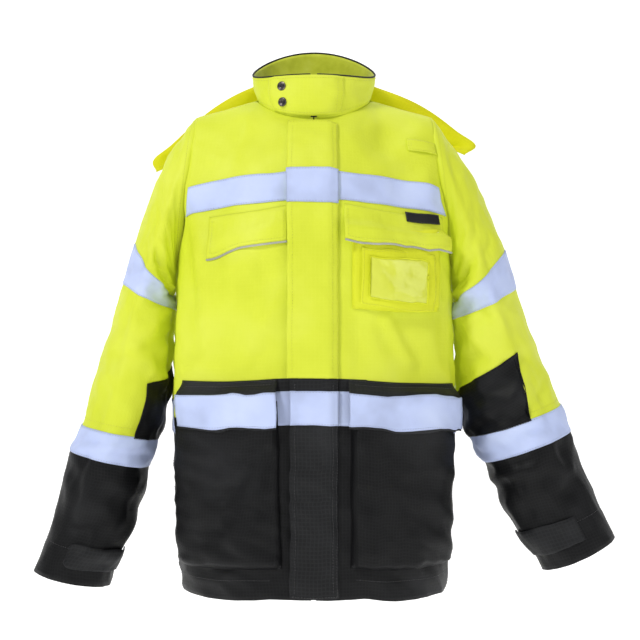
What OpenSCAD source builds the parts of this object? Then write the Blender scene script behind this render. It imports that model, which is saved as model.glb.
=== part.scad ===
// High-visibility work coat: body, collar, hood, sleeves, pockets, front closure.
// Frame: +X is the wearer's left, the front faces -Y, +Z is up.
// The origin is the seat of the coat on the neck, midway between the inner ends of the shoulder seams.

/* [Body] */
// Height of the hem below the origin
hem_drop = 765; // [740:1:780]
// Height of the lower end of the armholes below the origin
underarm_drop = 264; // [255:1:270]
// Height of the seam between the bright and the dark fabric below the origin
dark_drop = 495; // [485:1:505]
// Half of the body width at the armholes
chest_half_w = 217; // [210:1:218]
// Depth of the front, from the side seam plane
front_depth = 148; // [144:1:152]
// Depth of the back, from the side seam plane
back_depth = 140; // [136:1:144]
// Roundness of the body section, 2 is an ellipse
section_power = 2.5; // [2.3:0.1:2.7]

/* [Shoulders] */
// Distance from the centre to the outer end of a shoulder seam
shoulder_x = 186; // [182:1:188]
// Drop of the outer end of a shoulder seam below the origin
shoulder_drop = 28; // [24:1:32]
// Half of the armhole, front to back
armhole_half_d = 62; // [58:1:66]

/* [Collar] */
// Half of the collar width at its base
collar_base_x = 90; // [88:1:92]
// Half of the collar width at its top
collar_top_x = 99; // [96:1:101]
// Depth of the collar base in front of the origin
collar_base_front = 88; // [86:1:90]
// Depth of the collar base behind the origin
collar_base_back = 78; // [76:1:80]
// Depth of the collar top in front of and behind the origin
collar_top_y = 85; // [83:1:86]

/* [Fabric] */
// Thickness of the shell fabric
shell_t = 1.6; // [1.2:0.1:1.8]
// Width of the reflective tape
tape_w = 50.8; // [50:0.1:52]
// Thickness of the reflective tape
tape_t = 0.8; // [0.6:0.1:1]
// Gap between neighbouring layers
layer_gap = 0.5; // [0.4:0.1:0.6]

/* [Front closure] */
// Free edge of the storm flap, towards the wearer's right
storm_free_x = -38; // [-39:1:-36]
// Stitched edge of the storm flap
storm_hinge_x = 36; // [35:1:38]
// Diameter of a collar snap
snap_d = 14.5; // [13:0.5:15]

/* [Pockets] */
// How far a lower pocket stands proud of the body
pocket_depth = 13; // [12:0.5:14]
// How far the chest pocket stands proud of the body
chest_pocket_depth = 9.5; // [9:0.5:10]
// Height of the top of the lower pocket flaps below the origin
flap_drop = 437; // [434:1:440]
// Height of the bottom of the lower pockets below the origin
pocket_drop = 718; // [712:1:722]

/* [Hidden] */

hem_z = -hem_drop;
under_z = -underarm_drop;
dark_z = -dark_drop;
shoulder_z = -shoulder_drop;
flap_z = -flap_drop;
pocket_z = -pocket_drop;
armhole_z = (under_z + shoulder_z) / 2;
armhole_half_h = (shoulder_z - under_z) / 2;
tape_in = layer_gap;
tape_out = layer_gap + tape_t;
lining_out = -shell_t - 2;
lining_in = lining_out - 1.2;
bright = "#dfee3c";
dark = "#1c1e20";
silver = "#c3cbf5";
olive = "#aab52d";

// ---- body surface -------------------------------------------------------------------------
// Half width, front depth and back depth of the body at each height below the armholes
half_w_at = [[hem_z, chest_half_w - 8], [-656, chest_half_w - 1], [-560, chest_half_w + 4],
    [-450, chest_half_w + 8], [-350, chest_half_w + 4], [under_z, chest_half_w]];
front_d_at = [[hem_z, front_depth + 13.5], [under_z, front_depth]];
back_d_at = [[hem_z, back_depth + 14], [-600, back_depth + 14], [-450, back_depth + 6],
    [under_z, back_depth]];
// The centre line of the chest and of the upper back: depth at each height
chest_line = [[under_z, -front_depth], [-200, 1.7 - front_depth], [-140, -137], [-90, -118], [-60, -103],
    [-41, -collar_base_front]];
upper_back_line = [[under_z, back_depth], [-160, 147], [-80, 138], [-20, 112],
    [13, collar_base_back]];

function mix(a, b, t) = a + (b - a) * t;
function grow(v, e) = sign(v) * pow(abs(v), e);

// A point of the body below the armholes, at angle th from the front centre
function ring_pt(th, z) = let (e = 2 / section_power, c = cos(th))
    [lookup(z, half_w_at) * grow(sin(th), e),
     -(c > 0 ? lookup(z, front_d_at) : lookup(z, back_d_at)) * grow(c, e), z];

// The collar seam: a closed curve around the neck
function collar_base(th) = let (c = cos(th))
    [collar_base_x * sin(th), -(c > 0 ? collar_base_front : collar_base_back) * c,
     -27 * c - 14 * c * c];
function collar_top(th) = let (c = cos(th))
    [collar_top_x * sin(th), -collar_top_y * c, 40 - 33.5 * c + 18.5 * c * c];

// The armhole: t runs from the underarm, 0, to the shoulder point, 1; face is -1 front, 1 back
function armhole_pt(t, face) = let (z = armhole_z - armhole_half_h * cos(180 * t))
    [mix(shoulder_x, chest_half_w, (shoulder_z - z) / (shoulder_z - under_z)),
     face * armhole_half_d * sin(180 * t), z];

// The edge of a quarter at the top: half along the collar seam, half along the shoulder seam
function top_pt(q, face) = q <= 0.5 ? collar_base(face < 0 ? 180 * q : 180 - 180 * q) :
    mix(collar_base(90), [shoulder_x, 0, shoulder_z], 2 * q - 1);
function centre_pt(s, face) = let (line = face < 0 ? chest_line : upper_back_line,
    z = mix(under_z, face < 0 ? -41 : 13, s)) [0, lookup(z, line), z];

// A point of a quarter above the armhole level: q from the centre to the armhole, s upwards
function quarter_pt(q, s, face) = let (low = ring_pt(face < 0 ? 90 * q : 180 - 90 * q, under_z))
    (1 - s) * low + s * top_pt(q, face) + (1 - q) * centre_pt(s, face) + q * armhole_pt(s, face)
    - (1 - q) * (1 - s) * centre_pt(0, face) - q * (1 - s) * armhole_pt(0, face)
    - (1 - q) * s * centre_pt(1, face) - q * s * armhole_pt(1, face);

// The same surface with th measured from the front centre, -180 to 180
function upper_pt(th, s) = let (a = abs(th), face = a <= 90 ? -1 : 1,
    p = quarter_pt(a <= 90 ? a / 90 : (180 - a) / 90, s, face)) [th < 0 ? -p.x : p.x, p.y, p.z];

// Direction in which layers are stacked at a point of the body
function outward(p) = let (s = max(0, (p.z - under_z) / (shoulder_z - under_z)),
    d = [0.35 * p.x * (1 - 0.5 * s), p.y, 80 * s * s]) d / norm(d);
function lifted(p, off) = p + off * outward(p);

// A point of the body at angle th; v is a height below the armholes or a fraction above them
function body_pt(th, v, off) = lifted(v <= 0 ? ring_pt(th, under_z + v) : upper_pt(th, v), off);

// Halving searches: the fraction s at which the surface reaches a height, and the angle for an x
function s_for_z(th, z, lo = 0, hi = 1, n = 14) = let (m = (lo + hi) / 2)
    n == 0 ? m : upper_pt(th, m).z < z ? s_for_z(th, z, m, hi, n - 1) : s_for_z(th, z, lo, m, n - 1);
function skin_pt(th, z) = z <= under_z ? ring_pt(th, z) : upper_pt(th, s_for_z(th, z));
function th_for_x(x, z, lo = 0, hi = 90, n = 12) = let (m = (lo + hi) / 2)
    n == 0 ? m : skin_pt(m, z).x < abs(x) ? th_for_x(x, z, m, hi, n - 1)
    : th_for_x(x, z, lo, m, n - 1);
// A point on the front of the coat at a given x and height
function front_pt(x, z, off) = lifted(skin_pt(sign(x) * th_for_x(x, z), z), off);

// ---- closed sheets ------------------------------------------------------------------------
// outer and inner are lists of rows of points; columns x rows points outwards
module sheet(outer, inner, wrap = false) {
    rows = len(outer);
    cols = len(outer[0]);
    last = wrap ? cols - 1 : cols - 2;
    size = rows * cols;
    function at(r, c) = r * cols + c % cols;
    skin = [for (r = [0:rows - 2], c = [0:last]) each [
        [at(r, c), at(r + 1, c), at(r + 1, c + 1)], [at(r, c), at(r + 1, c + 1), at(r, c + 1)],
        [size + at(r, c), size + at(r + 1, c + 1), size + at(r + 1, c)],
        [size + at(r, c), size + at(r, c + 1), size + at(r + 1, c + 1)]]];
    low = [for (c = [0:last]) each [[at(0, c), at(0, c + 1), size + at(0, c + 1)],
        [at(0, c), size + at(0, c + 1), size + at(0, c)]]];
    top = [for (c = [0:last]) let (r = rows - 1) each [
        [at(r, c + 1), at(r, c), size + at(r, c)], [at(r, c + 1), size + at(r, c), size + at(r, c + 1)]]];
    first = wrap ? [] : [for (r = [0:rows - 2]) each [[at(r + 1, 0), at(r, 0), size + at(r, 0)],
        [at(r + 1, 0), size + at(r, 0), size + at(r + 1, 0)]]];
    end = wrap ? [] : [for (r = [0:rows - 2]) let (c = cols - 1) each [
        [at(r, c), at(r + 1, c), size + at(r + 1, c)], [at(r, c), size + at(r + 1, c), size + at(r, c)]]];
    polyhedron(concat([for (row = outer) each row], [for (row = inner) each row]),
        concat(skin, low, top, first, end), convexity = 10);
}

// A layer of the body between two offsets, over lists of angles and levels
module body_layer(angles, levels, off_in, off_out) {
    sheet([for (v = levels) [for (th = angles) body_pt(th, v, off_out)]],
        [for (v = levels) [for (th = angles) body_pt(th, v, off_in)]]);
}

// A patch of the front between four corners given as [x, z]: low left, low right, top right, top left
function patch_xz(c, u, v) = mix(mix(c[0], c[1], u), mix(c[3], c[2], u), v);
module front_patch(corners, cols, rows, off_in, off_out) {
    function pt(i, j, off) = let (p = patch_xz(corners, i / cols, j / rows)) front_pt(p[0], p[1], off);
    sheet([for (j = [0:rows]) [for (i = [0:cols]) pt(i, j, off_out)]],
        [for (j = [0:rows]) [for (i = [0:cols]) pt(i, j, off_in)]]);
}

// ---- body ---------------------------------------------------------------------------------
grid = 7.5;
seam = 0.35;
upper_levels = concat([for (z = [dark_z, -420, -342]) z - under_z], [for (i = [0:8]) i / 8]);
lower_levels = [for (z = [hem_z, -700, -620, -550, dark_z - layer_gap]) z - under_z];
front_angles = concat([seam], [for (a = [grid:grid:90 - grid]) a], [90 - seam]);
back_angles = concat([90 + seam], [for (a = [90 + grid:grid:270 - grid]) a], [270 - seam]);
function negative(list) = [for (i = [len(list) - 1:-1:0]) -list[i]];
// Angles beyond the back centre belong to the wearer's right
function wrapped(th) = th > 180 ? th - 360 : th;
module back_layer(levels, angles, off_in, off_out) {
    sheet([for (v = levels) [for (th = angles) body_pt(wrapped(th), v, off_out)]],
        [for (v = levels) [for (th = angles) body_pt(wrapped(th), v, off_in)]]);
}

module front_upper_right() { color(bright) body_layer(negative(front_angles), upper_levels, -shell_t, 0); }
module front_upper_left() { color(bright) body_layer(front_angles, upper_levels, -shell_t, 0); }
module front_lower_right() { color(dark) body_layer(negative(front_angles), lower_levels, -shell_t, 0); }
module front_lower_left() { color(dark) body_layer(front_angles, lower_levels, -shell_t, 0); }
module back_upper() { color(bright) back_layer(upper_levels, back_angles, -shell_t, 0); }
module back_lower() { color(dark) back_layer(lower_levels, back_angles, -shell_t, 0); }

// The lining hangs inside from just under the collar to above the hem, open down the front
lining_front = concat([2], [for (a = [15:15:75]) a], [90 - seam]);
lining_back = concat([90 + seam], [for (a = [105:15:255]) a], [270 - seam]);
lining_levels = concat([for (z = [hem_z + 25, -620, dark_z, -342]) z - under_z],
    [for (i = [0:6]) i / 6 * 0.98]);
module body_lining() {
    color("#2a2c2e") for (angles = [negative(lining_front), lining_front, lining_back])
        back_layer(lining_levels, angles, lining_in, lining_out);
}

// ---- collar -------------------------------------------------------------------------------
collar_lift = 1;
function collar_pt(th, v, off) = let (low = collar_base(th) + [0, 0, collar_lift],
    d = [sin(th), -cos(th), 0]) mix(low, collar_top(th), v) + off * d;
module collar_layer(angles, rows, v_low, v_top, off_in, off_out) {
    levels = [for (i = [0:rows]) mix(v_low, v_top, i / rows)];
    sheet([for (v = levels) [for (th = angles) collar_pt(th, v, off_out)]],
        [for (v = levels) [for (th = angles) collar_pt(th, v, off_in)]]);
}
collar_angles = concat([3], [for (a = [12:12:348]) a], [357]);
tab_angles = [for (a = [-42:7:28]) a];
tab_in = 5;
tab_out = 7;
snap_angle = -28;
snap_levels = [0.28, 0.7];
module collar_shell() { color(bright) collar_layer(collar_angles, 4, 0, 1, -shell_t, 0); }
module collar_lining() {
    color(olive) collar_layer(collar_angles, 4, 0, 0.985, -shell_t - 2, -shell_t - 0.6);
}
module collar_tab() { color(bright) collar_layer(tab_angles, 3, 0, 0.98, tab_in, tab_out); }
module at_snap(v) {
    translate(collar_pt(snap_angle, v, 0)) rotate([0, 0, snap_angle]) rotate([90, 0, 0]) children();
}
module collar_snap_caps() {
    color("#4a443e") for (v = snap_levels) at_snap(v) translate([0, 0, tab_out + 0.4]) difference() {
        cylinder(d = snap_d, h = 2.4, $fn = 40);
        translate([0, 0, 1.6]) cylinder(d = snap_d * 0.55, h = 2, $fn = 40);
    }
}
module collar_snap_studs() {
    color("#4a443e") for (v = snap_levels) at_snap(v) translate([0, 0, 0.9]) union() {
        cylinder(d = snap_d * 0.85, h = 1.4, $fn = 40);
        cylinder(d = snap_d * 0.4, h = 3, $fn = 40);
    }
}

// A flat loop of webbing sewn inside the back of the collar
loop_w = 60;
loop_y = collar_base_back - 10;
module hang_loop() {
    color(dark) translate([0, loop_y, 20]) rotate([90, 0, 0]) linear_extrude(4) difference() {
        square([loop_w, 14], center = true);
        square([loop_w - 12, 8], center = true);
    }
}

// ---- front closure ------------------------------------------------------------------------
zip_top = -70;
zip_low = -745;
zip_gap = 1.6;
zip_tape_w = 16;
tooth_off = 3.1;
tooth_t = 1.2;
storm_in = 8;
storm_out = 10;
storm_top = -53;
storm_low_right_x = -34;
module front_strip(x0, x1, z0, z1, cols, rows, off_in, off_out) {
    front_patch([[x0, z0], [x1, z0], [x1, z1], [x0, z1]], cols, rows, off_in, off_out);
}
module zip_tapes() {
    color(dark) for (side = [-1, 1]) let (a = side * zip_gap, b = side * zip_tape_w)
        front_strip(min(a, b), max(a, b), zip_low, zip_top, 1, 36, 1, 1.8);
}
// Teeth: small blocks alternating left and right of the centre line
tooth_pitch = 9;
module zip_teeth() {
    color("#5a5d60") for (z = [zip_low + 14:tooth_pitch:zip_top - 3], side = [-1, 1])
        translate(front_pt(1, z + side * tooth_pitch / 4, tooth_off) + [side * 1.9 - 1, 0, 0])
            cube([3.2, tooth_t, 3], center = true);
}
module zip_stop_box() {
    color("#5a5d60") translate(front_pt(1, zip_low + 4, tooth_off) - [1, 0, 0])
        cube([11, 2.4, 9], center = true);
}
// The slider rides on the straight run of the chain, from the chest down to the stop box
slider_z = -205;
slider_y = front_pt(1, slider_z, 0).y;
slider_off = 4.9;
pull_off = 6.2;
module zip_slider() {
    color("#5a5d60") translate([0, slider_y - slider_off, slider_z]) difference() {
        cube([11, 1.4, 15], center = true);
        translate([0, 0, -3]) rotate([90, 0, 0]) cylinder(d = 2.4, h = 4, center = true, $fn = 24);
    }
}
module zip_pull() {
    color("#3a3c3e") translate([0, slider_y - pull_off, slider_z - 3]) rotate([90, 0, 0])
        linear_extrude(1, center = true) difference() {
            hull() {
                circle(d = 6, $fn = 32);
                translate([0, -26]) circle(d = 7, $fn = 32);
            }
            translate([0, -25]) circle(d = 3, $fn = 32);
        }
}

module storm_flap_upper() {
    color(bright) front_strip(storm_free_x, storm_hinge_x, flap_z + 0.3, storm_top, 6, 16,
        storm_in, storm_out);
}
module storm_flap_lower() {
    color(dark) front_patch([[storm_low_right_x, hem_z + 4], [storm_hinge_x, hem_z + 4],
        [storm_hinge_x, flap_z - 0.3], [storm_low_right_x, flap_z - 0.3]], 6, 6, storm_in, storm_out);
}
chest_tape_top = -126;
waist_tape_top = -456;
module storm_flap_tapes() {
    color(silver) for (top = [chest_tape_top, waist_tape_top])
        front_strip(storm_low_right_x, storm_hinge_x, top - tape_w, top, 6, 3,
            storm_out + layer_gap, storm_out + layer_gap + tape_t);
}
// Hook and loop squares that hold the storm flap shut
hold_z = [-110, -250, -400, -560, -700];
hold_h = 50;
module hold_patches(off_in, off_out) {
    for (z = hold_z) front_strip(-33, -19, z - hold_h / 2, z + hold_h / 2, 1, 2, off_in, off_out);
}
module storm_flap_hooks() { color(dark) hold_patches(storm_in - 2.4, storm_in - 1); }
module storm_flap_loops() { color(dark) hold_patches(1, 2.2); }

// ---- tapes on the body --------------------------------------------------------------------
tape_drop = 20;
chest_tape_share = 0.88;
chest_tape_angles = concat([8.5, 12], [for (a = [grid * 2.2:grid:84]) a]);
// The chest tape falls towards the armholes
module chest_tape(angles) {
    function top(th) = chest_tape_top - tape_drop * pow(abs(th) / 84, 2);
    function row(i, off) = [for (th = angles)
        lifted(skin_pt(th, top(th) - chest_tape_share * tape_w * (1 - i / 3)), off)];
    sheet([for (i = [0:3]) row(i, tape_out)], [for (i = [0:3]) row(i, tape_in)]);
}
module chest_tape_right() { color(silver) chest_tape(negative(chest_tape_angles)); }
module chest_tape_left() { color(silver) chest_tape(chest_tape_angles); }
module turned_band(from, to, low_z, high_z, off_in) {
    angles = concat([from], [for (a = [ceil(from / grid + 0.2) * grid:grid:to - 1]) a], [to]);
    heights = [for (i = [0:2]) mix(low_z, high_z, i / 2)];
    sheet([for (z = heights) [for (th = angles) lifted(skin_pt(wrapped(th), z), off_in + tape_t)]],
        [for (z = heights) [for (th = angles) lifted(skin_pt(wrapped(th), z), off_in)]]);
}
side_tape_top = -470;
module back_tape() { color(silver) turned_band(99, 261, -196, -196 + tape_w, 1.6); }
module waist_tape() {
    color(silver) turned_band(74, 286, side_tape_top - tape_w, side_tape_top, tape_in);
}

// ---- chest pockets ------------------------------------------------------------------------
// Flap corners as [x, z]: low right, low left, top left, top right of the wearer's chest
right_flap = [[-160, -249], [-41, -233], [-41, -196], [-160, -206]];
left_flap = [[46, -229], [196, -243], [196, -206], [46, -197]];
right_flap_in = 2;
holder_in = chest_pocket_depth + 0.7;
holder_out = holder_in + 2;
left_flap_in = holder_out + 2;
flap_t = 1.8;
piping_w = 3;
// The piping hangs on the lower edge of a flap
function lowered(c, gap, h) =
    [c[0] - [0, gap + h], c[1] - [0, gap + h], c[1] - [0, gap], c[0] - [0, gap]];
module chest_flap(corners, cols, flap_in) {
    color(bright) front_patch(corners, cols, 3, flap_in, flap_in + flap_t);
}
module chest_piping(corners, cols, flap_in) {
    color("#b9b6b0") front_patch(lowered(corners, 0.3, piping_w), cols, 1,
        flap_in - 0.2, flap_in + flap_t + 0.4);
}
module chest_flap_right() { chest_flap(right_flap, 6, right_flap_in); }
module chest_flap_left() { chest_flap(left_flap, 7, left_flap_in); }
module chest_piping_right() { chest_piping(right_flap, 6, right_flap_in); }
module chest_piping_left() { chest_piping(left_flap, 7, left_flap_in); }

// A patch pocket: its edges are sewn to the body, its middle stands proud, its mouth is at the top
module bellows(corners, cols, rows, proud, wall) {
    edge = 1.6;
    us = concat([0, 0.02], [for (i = [1:cols - 1]) i / cols], [0.98, 1]);
    vs = concat([0, 0.03], [for (j = [1:rows]) j / rows]);
    function off(i, j) = i == 0 || i == len(us) - 1 || j == 0 ? edge : proud - wall;
    function pt(i, j, extra) = let (p = patch_xz(corners, us[i], vs[j]))
        front_pt(p[0], p[1], off(i, j) + extra);
    sheet([for (j = [0:len(vs) - 1]) [for (i = [0:len(us) - 1]) pt(i, j, wall)]],
        [for (j = [0:len(vs) - 1]) [for (i = [0:len(us) - 1]) pt(i, j, 0)]]);
}
chest_pocket = [[56, -333], [188, -333], [188, -212], [56, -212]];
pocket_wall = 1.4;
module chest_pocket_left() {
    color("#cfd820") bellows(chest_pocket, 6, 4, chest_pocket_depth, pocket_wall);
}
holder = [[68, -325], [174, -333], [176, -250], [70, -239]];
pane = [[80, -314], [161, -320], [165, -262], [82, -251]];
module window_holder() { color("#e2e000") front_patch(holder, 5, 4, holder_in, holder_out); }
module window_pane() { color("#f0f06a") front_patch(pane, 4, 3, holder_out + 0.8, holder_out + 1.4); }
module name_patch() {
    color(dark) front_patch([[139, -199], [189, -204], [188, -189], [138, -184]], 3, 1,
        tape_out + 0.4, tape_out + 1.2);
}
module mic_tab() {
    color(bright) front_patch([[147, -88], [193, -94], [190, -75], [145, -70]], 3, 1, 1.8, 3.2);
}

// ---- lower pockets ------------------------------------------------------------------------
flap_tape_h = 50;
right_inner_x = -52;
right_outer_x = -194;
left_inner_x = 50;
left_outer_x = 214;
lower_flap_in = pocket_depth + 2;
lower_flap_out = lower_flap_in + 1.8;
module lower_pocket(corners) { color(dark) bellows(corners, 7, 4, pocket_depth, pocket_wall); }
module lower_pocket_right() {
    lower_pocket([[-206, pocket_z], [-46, pocket_z], [right_inner_x, -470], [-206, -470]]);
}
module lower_pocket_left() {
    lower_pocket([[56, pocket_z], [208, pocket_z], [212, -470], [54, -470]]);
}
module lower_flap(x0, x1) {
    color(dark) front_strip(x0, x1, waist_tape_top - flap_tape_h - 4, flap_z, 8, 3,
        lower_flap_in, lower_flap_out);
}
module lower_flap_tape(x0, x1) {
    color(silver) front_strip(x0, x1, waist_tape_top - flap_tape_h, waist_tape_top, 8, 2,
        lower_flap_out + layer_gap, lower_flap_out + layer_gap + tape_t);
}
module lower_flap_right() { lower_flap(right_outer_x, right_inner_x); }
module lower_flap_left() { lower_flap(left_inner_x, left_outer_x); }
module lower_flap_tape_right() { lower_flap_tape(right_outer_x, right_inner_x); }
module lower_flap_tape_left() { lower_flap_tape(left_inner_x, left_outer_x); }

// ---- sleeves ------------------------------------------------------------------------------
// Each station: outer edge [x, z], inner edge [x, z], middle y, half depth in y.
// The first station is the armhole itself, moved out by the seam gap.
sleeve_gap = 1;
armhole_station = [[shoulder_x + sleeve_gap, shoulder_z], [chest_half_w + sleeve_gap, under_z],
    0, armhole_half_d];
left_stations = [armhole_station,
    [[234, -86], [222, -278], 6, 75], [[270, -140], [224, -298], 9, 83], [[300, -215], [225, -320], 10, 86],
    [[325, -290], [226, -345], 10, 84], [[346, -352], [229, -398], 10, 78], [[372, -420], [231, -466], 8, 74],
    [[397, -482], [252, -531], 2, 72], [[413, -525], [275, -576], -4, 70],
    [[440, -605], [309, -650], -14, 66], [[475, -690], [362, -744], -28, 60]];
right_stations = [armhole_station,
    [[232, -80], [222, -278], 4, 72], [[257, -135], [225, -292], 6, 80], [[283, -205], [228, -308], 6, 84],
    [[306, -280], [229, -330], 6, 84], [[328, -352], [230, -376], 6, 80], [[352, -430], [232, -448], 4, 76],
    [[374, -512], [250, -535], -2, 72], [[390, -556], [268, -584], -8, 69],
    [[414, -650], [292, -680], -18, 65], [[442, -742], [322, -768], -30, 60]];
ring_count = 20;
// A point of a sleeve: st is a fractional station number, phi runs from the outer edge to the front
function station(stations, st) = let (i = min(floor(st), len(stations) - 2), f = st - i)
    [for (k = [0:3]) mix(stations[i][k], stations[i + 1][k], f)];
function sleeve_pt(stations, st, phi, off) = let (s = station(stations, st),
    mid = (s[0] + s[1]) / 2, half = (s[0] - s[1]) / 2, h = norm(half), w = s[3],
    k = 1 + off / h, m = 1 + off / w)
    [mid[0] + half[0] * k * cos(phi), s[2] - w * m * sin(phi), mid[1] + half[1] * k * cos(phi)];
module sleeve_tube(stations, list, off_in, off_out) {
    turns = [for (i = [0:ring_count - 1]) i * 360 / ring_count];
    sheet([for (st = list) [for (phi = turns) sleeve_pt(stations, st, phi, off_out)]],
        [for (st = list) [for (phi = turns) sleeve_pt(stations, st, phi, off_in)]], wrap = true);
}
// A patch on a sleeve; low and high give the station at each angle
module sleeve_patch(stations, phis, lows, highs, rows, off_in, off_out) {
    function pt(i, j, off) = sleeve_pt(stations, mix(lows[i], highs[i], j / rows), phis[i], off);
    n = len(phis) - 1;
    sheet([for (j = [0:rows]) [for (i = [0:n]) pt(i, j, off_out)]],
        [for (j = [0:rows]) [for (i = [0:n]) pt(i, j, off_in)]]);
}
dark_station = 7.5;
end_station = 10;
// The cap of each sleeve stays with the body; the sleeve swings below the cut
cut_station = 2.3;
cap_list = [0, 1, 2, cut_station - 0.005];
upper_list = [cut_station + 0.005, 3, 4, 5, 6, 7, dark_station - 0.005];
lower_list = [dark_station + 0.005, 8, 9, end_station];
upper_tape_list = [3.3, 4, 4.15];
lower_tape_list = [7.05, 8];
// Elbow patches: the angles of the slanted edge, then the angles of the sleeve's own facets
gusset_end = 7.03;
facet = 18;
left_gusset_angles = concat([71, 72, 77, 83], [for (a = [5 * facet:facet:11 * facet]) a]);
left_gusset_lows = [[71, 5.51], [198, 6.15]];
left_gusset_highs = [[71, 5.62], [83, gusset_end]];
right_gusset_angles = concat([122, 126, 129], [for (a = [8 * facet:facet:11 * facet]) a]);
right_gusset_lows = [[122, 6.9], [129, 5.71], [198, 6.06]];
right_gusset_highs = [[122, gusset_end], [198, gusset_end]];
module sleeve_cap(stations) { color(bright) sleeve_tube(stations, cap_list, -shell_t, 0); }
module sleeve_upper(stations) { color(bright) sleeve_tube(stations, upper_list, -shell_t, 0); }
module sleeve_lower(stations) { color(dark) sleeve_tube(stations, lower_list, -shell_t, 0); }
lining_list = [cut_station + 0.05, 3, 4, 5, 6, 7, 8, 9, 9.8];
module sleeve_lining(stations) {
    color("#2a2c2e") sleeve_tube(stations, lining_list, lining_in, lining_out);
}
module sleeve_tapes(stations) {
    color(silver) for (list = [upper_tape_list, lower_tape_list])
        sleeve_tube(stations, list, tape_in, tape_out);
}
module elbow_gusset(stations, angles, lows, highs) {
    low_list = [for (a = angles) lookup(a, lows)];
    high_list = [for (a = angles) lookup(a, highs)];
    color(dark) sleeve_patch(stations, angles, low_list, high_list, 3, gusset_in, gusset_out);
}
gusset_in = tape_in + 0.9;
gusset_out = tape_out + 0.9;
tab_phis = [for (a = [78:18:186]) a];
module cuff_tab(stations) {
    lows = [for (p = tab_phis) 9.35];
    highs = [for (p = tab_phis) 9.75];
    color(dark) sleeve_patch(stations, tab_phis, lows, highs, 1, 3, 4.6);
}
module cuff_loop(stations) {
    color("#2b2d2f") sleeve_patch(stations, [108, 126, 144, 162], [9.4, 9.4, 9.4, 9.4],
        [9.7, 9.7, 9.7, 9.7], 1, 0.6, 1.6);
}
module wearers_right() { mirror([1, 0, 0]) children(); }
module sleeve_cap_left() { sleeve_cap(left_stations); }
module sleeve_cap_right() { wearers_right() sleeve_cap(right_stations); }
module sleeve_upper_left() { sleeve_upper(left_stations); }
module sleeve_upper_right() { wearers_right() sleeve_upper(right_stations); }
module sleeve_lower_left() { sleeve_lower(left_stations); }
module sleeve_lower_right() { wearers_right() sleeve_lower(right_stations); }
module sleeve_lining_left() { sleeve_lining(left_stations); }
module sleeve_lining_right() { wearers_right() sleeve_lining(right_stations); }
module sleeve_tapes_left() { sleeve_tapes(left_stations); }
module sleeve_tapes_right() { wearers_right() sleeve_tapes(right_stations); }
module elbow_gusset_left() {
    elbow_gusset(left_stations, left_gusset_angles, left_gusset_lows, left_gusset_highs);
}
module elbow_gusset_right() {
    wearers_right() elbow_gusset(right_stations, right_gusset_angles, right_gusset_lows, right_gusset_highs);
}
module cuff_tab_left() { cuff_tab(left_stations); }
module cuff_tab_right() { wearers_right() cuff_tab(right_stations); }
module cuff_loop_left() { cuff_loop(left_stations); }
module cuff_loop_right() { wearers_right() cuff_loop(right_stations); }

// ---- hood ---------------------------------------------------------------------------------
// A pouch behind the collar: each column runs from the collar seam down the back and up to the rim.
// It stands clear of the back on its way down and bulges outwards on its way up.
hood_front_y = 98;
hood_seam_z = 42;
hood_tip_x = 268;
hood_tip_z = -70;
back_clear = 14;
rim_bulge = 12;
function hood_face(u, w) = let (
    a = abs(u), tip = [u * hood_tip_x, hood_front_y + 18, hood_tip_z],
    neck = [96 * u, hood_front_y + 2, hood_seam_z - 18 * (1 - a)],
    bend = [175 * u, 178 - 56 * a * a, -225 + 110 * a * a],
    rim = [230 * u, 230 - 84 * a * a, -30 - 20 * a * a],
    e = sin(180 * w),
    fall_y = mix(neck.y, bend.y - rim_bulge, pow(e, 0.75)) + back_clear * sin(360 * w) * (1 - 2 * w)
        + rim_bulge * pow(2 * w, 4),
    pouch = w < 0.5 ? [mix(neck.x, bend.x, e), fall_y, mix(neck.z, bend.z, e)]
        : mix(bend, rim, 1 - cos(180 * (w - 0.5))) + [0, rim_bulge * sin(360 * (w - 0.5)), 0],
    edge = mix(neck, tip, w) + [0, 0, 16 * e])
    mix(pouch, edge, pow(a, 4));
// The normal is found from neighbouring points
hood_step = 0.04;
function hood_pt(u, w, off) = let (
    across = hood_face(min(u + hood_step, 1), w) - hood_face(max(u - hood_step, -1), w),
    along = hood_face(u, min(w + hood_step, 1)) - hood_face(u, max(w - hood_step, 0)),
    n = cross(along, across))
    hood_face(u, w) + off * n / norm(n);
// Columns run from the wearer's left to right, so that columns x rows points out of the pouch
hood_us = [for (i = [-10:10]) -i / 10];
hood_lining_us = [for (i = [-9:9]) -i / 10];
hood_ws = [for (j = [0:12]) j / 12];
module hood_layer(us, ws, off_in, off_out) {
    sheet([for (w = ws) [for (u = us) hood_pt(u, w, off_out)]],
        [for (w = ws) [for (u = us) hood_pt(u, w, off_in)]]);
}
module hood_shell() { color("#e0e010") hood_layer(hood_us, hood_ws, -shell_t, 0); }
module hood_lining() {
    color(olive) hood_layer(hood_lining_us, [for (j = [1:11]) j / 12], lining_in, lining_out);
}

front_upper_right();
front_upper_left();
front_lower_right();
front_lower_left();
back_upper();
back_lower();
body_lining();
collar_shell();
collar_lining();
collar_tab();
collar_snap_caps();
collar_snap_studs();
hang_loop();
zip_tapes();
zip_teeth();
zip_stop_box();
zip_slider();
zip_pull();
storm_flap_upper();
storm_flap_lower();
storm_flap_tapes();
storm_flap_hooks();
storm_flap_loops();
chest_tape_right();
chest_tape_left();
back_tape();
waist_tape();
chest_flap_right();
chest_flap_left();
chest_piping_right();
chest_piping_left();
chest_pocket_left();
window_holder();
window_pane();
name_patch();
mic_tab();
lower_pocket_right();
lower_pocket_left();
lower_flap_right();
lower_flap_left();
lower_flap_tape_right();
lower_flap_tape_left();
sleeve_cap_right();
sleeve_cap_left();
sleeve_upper_right();
sleeve_upper_left();
sleeve_lower_right();
sleeve_lower_left();
elbow_gusset_right();
elbow_gusset_left();
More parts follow.
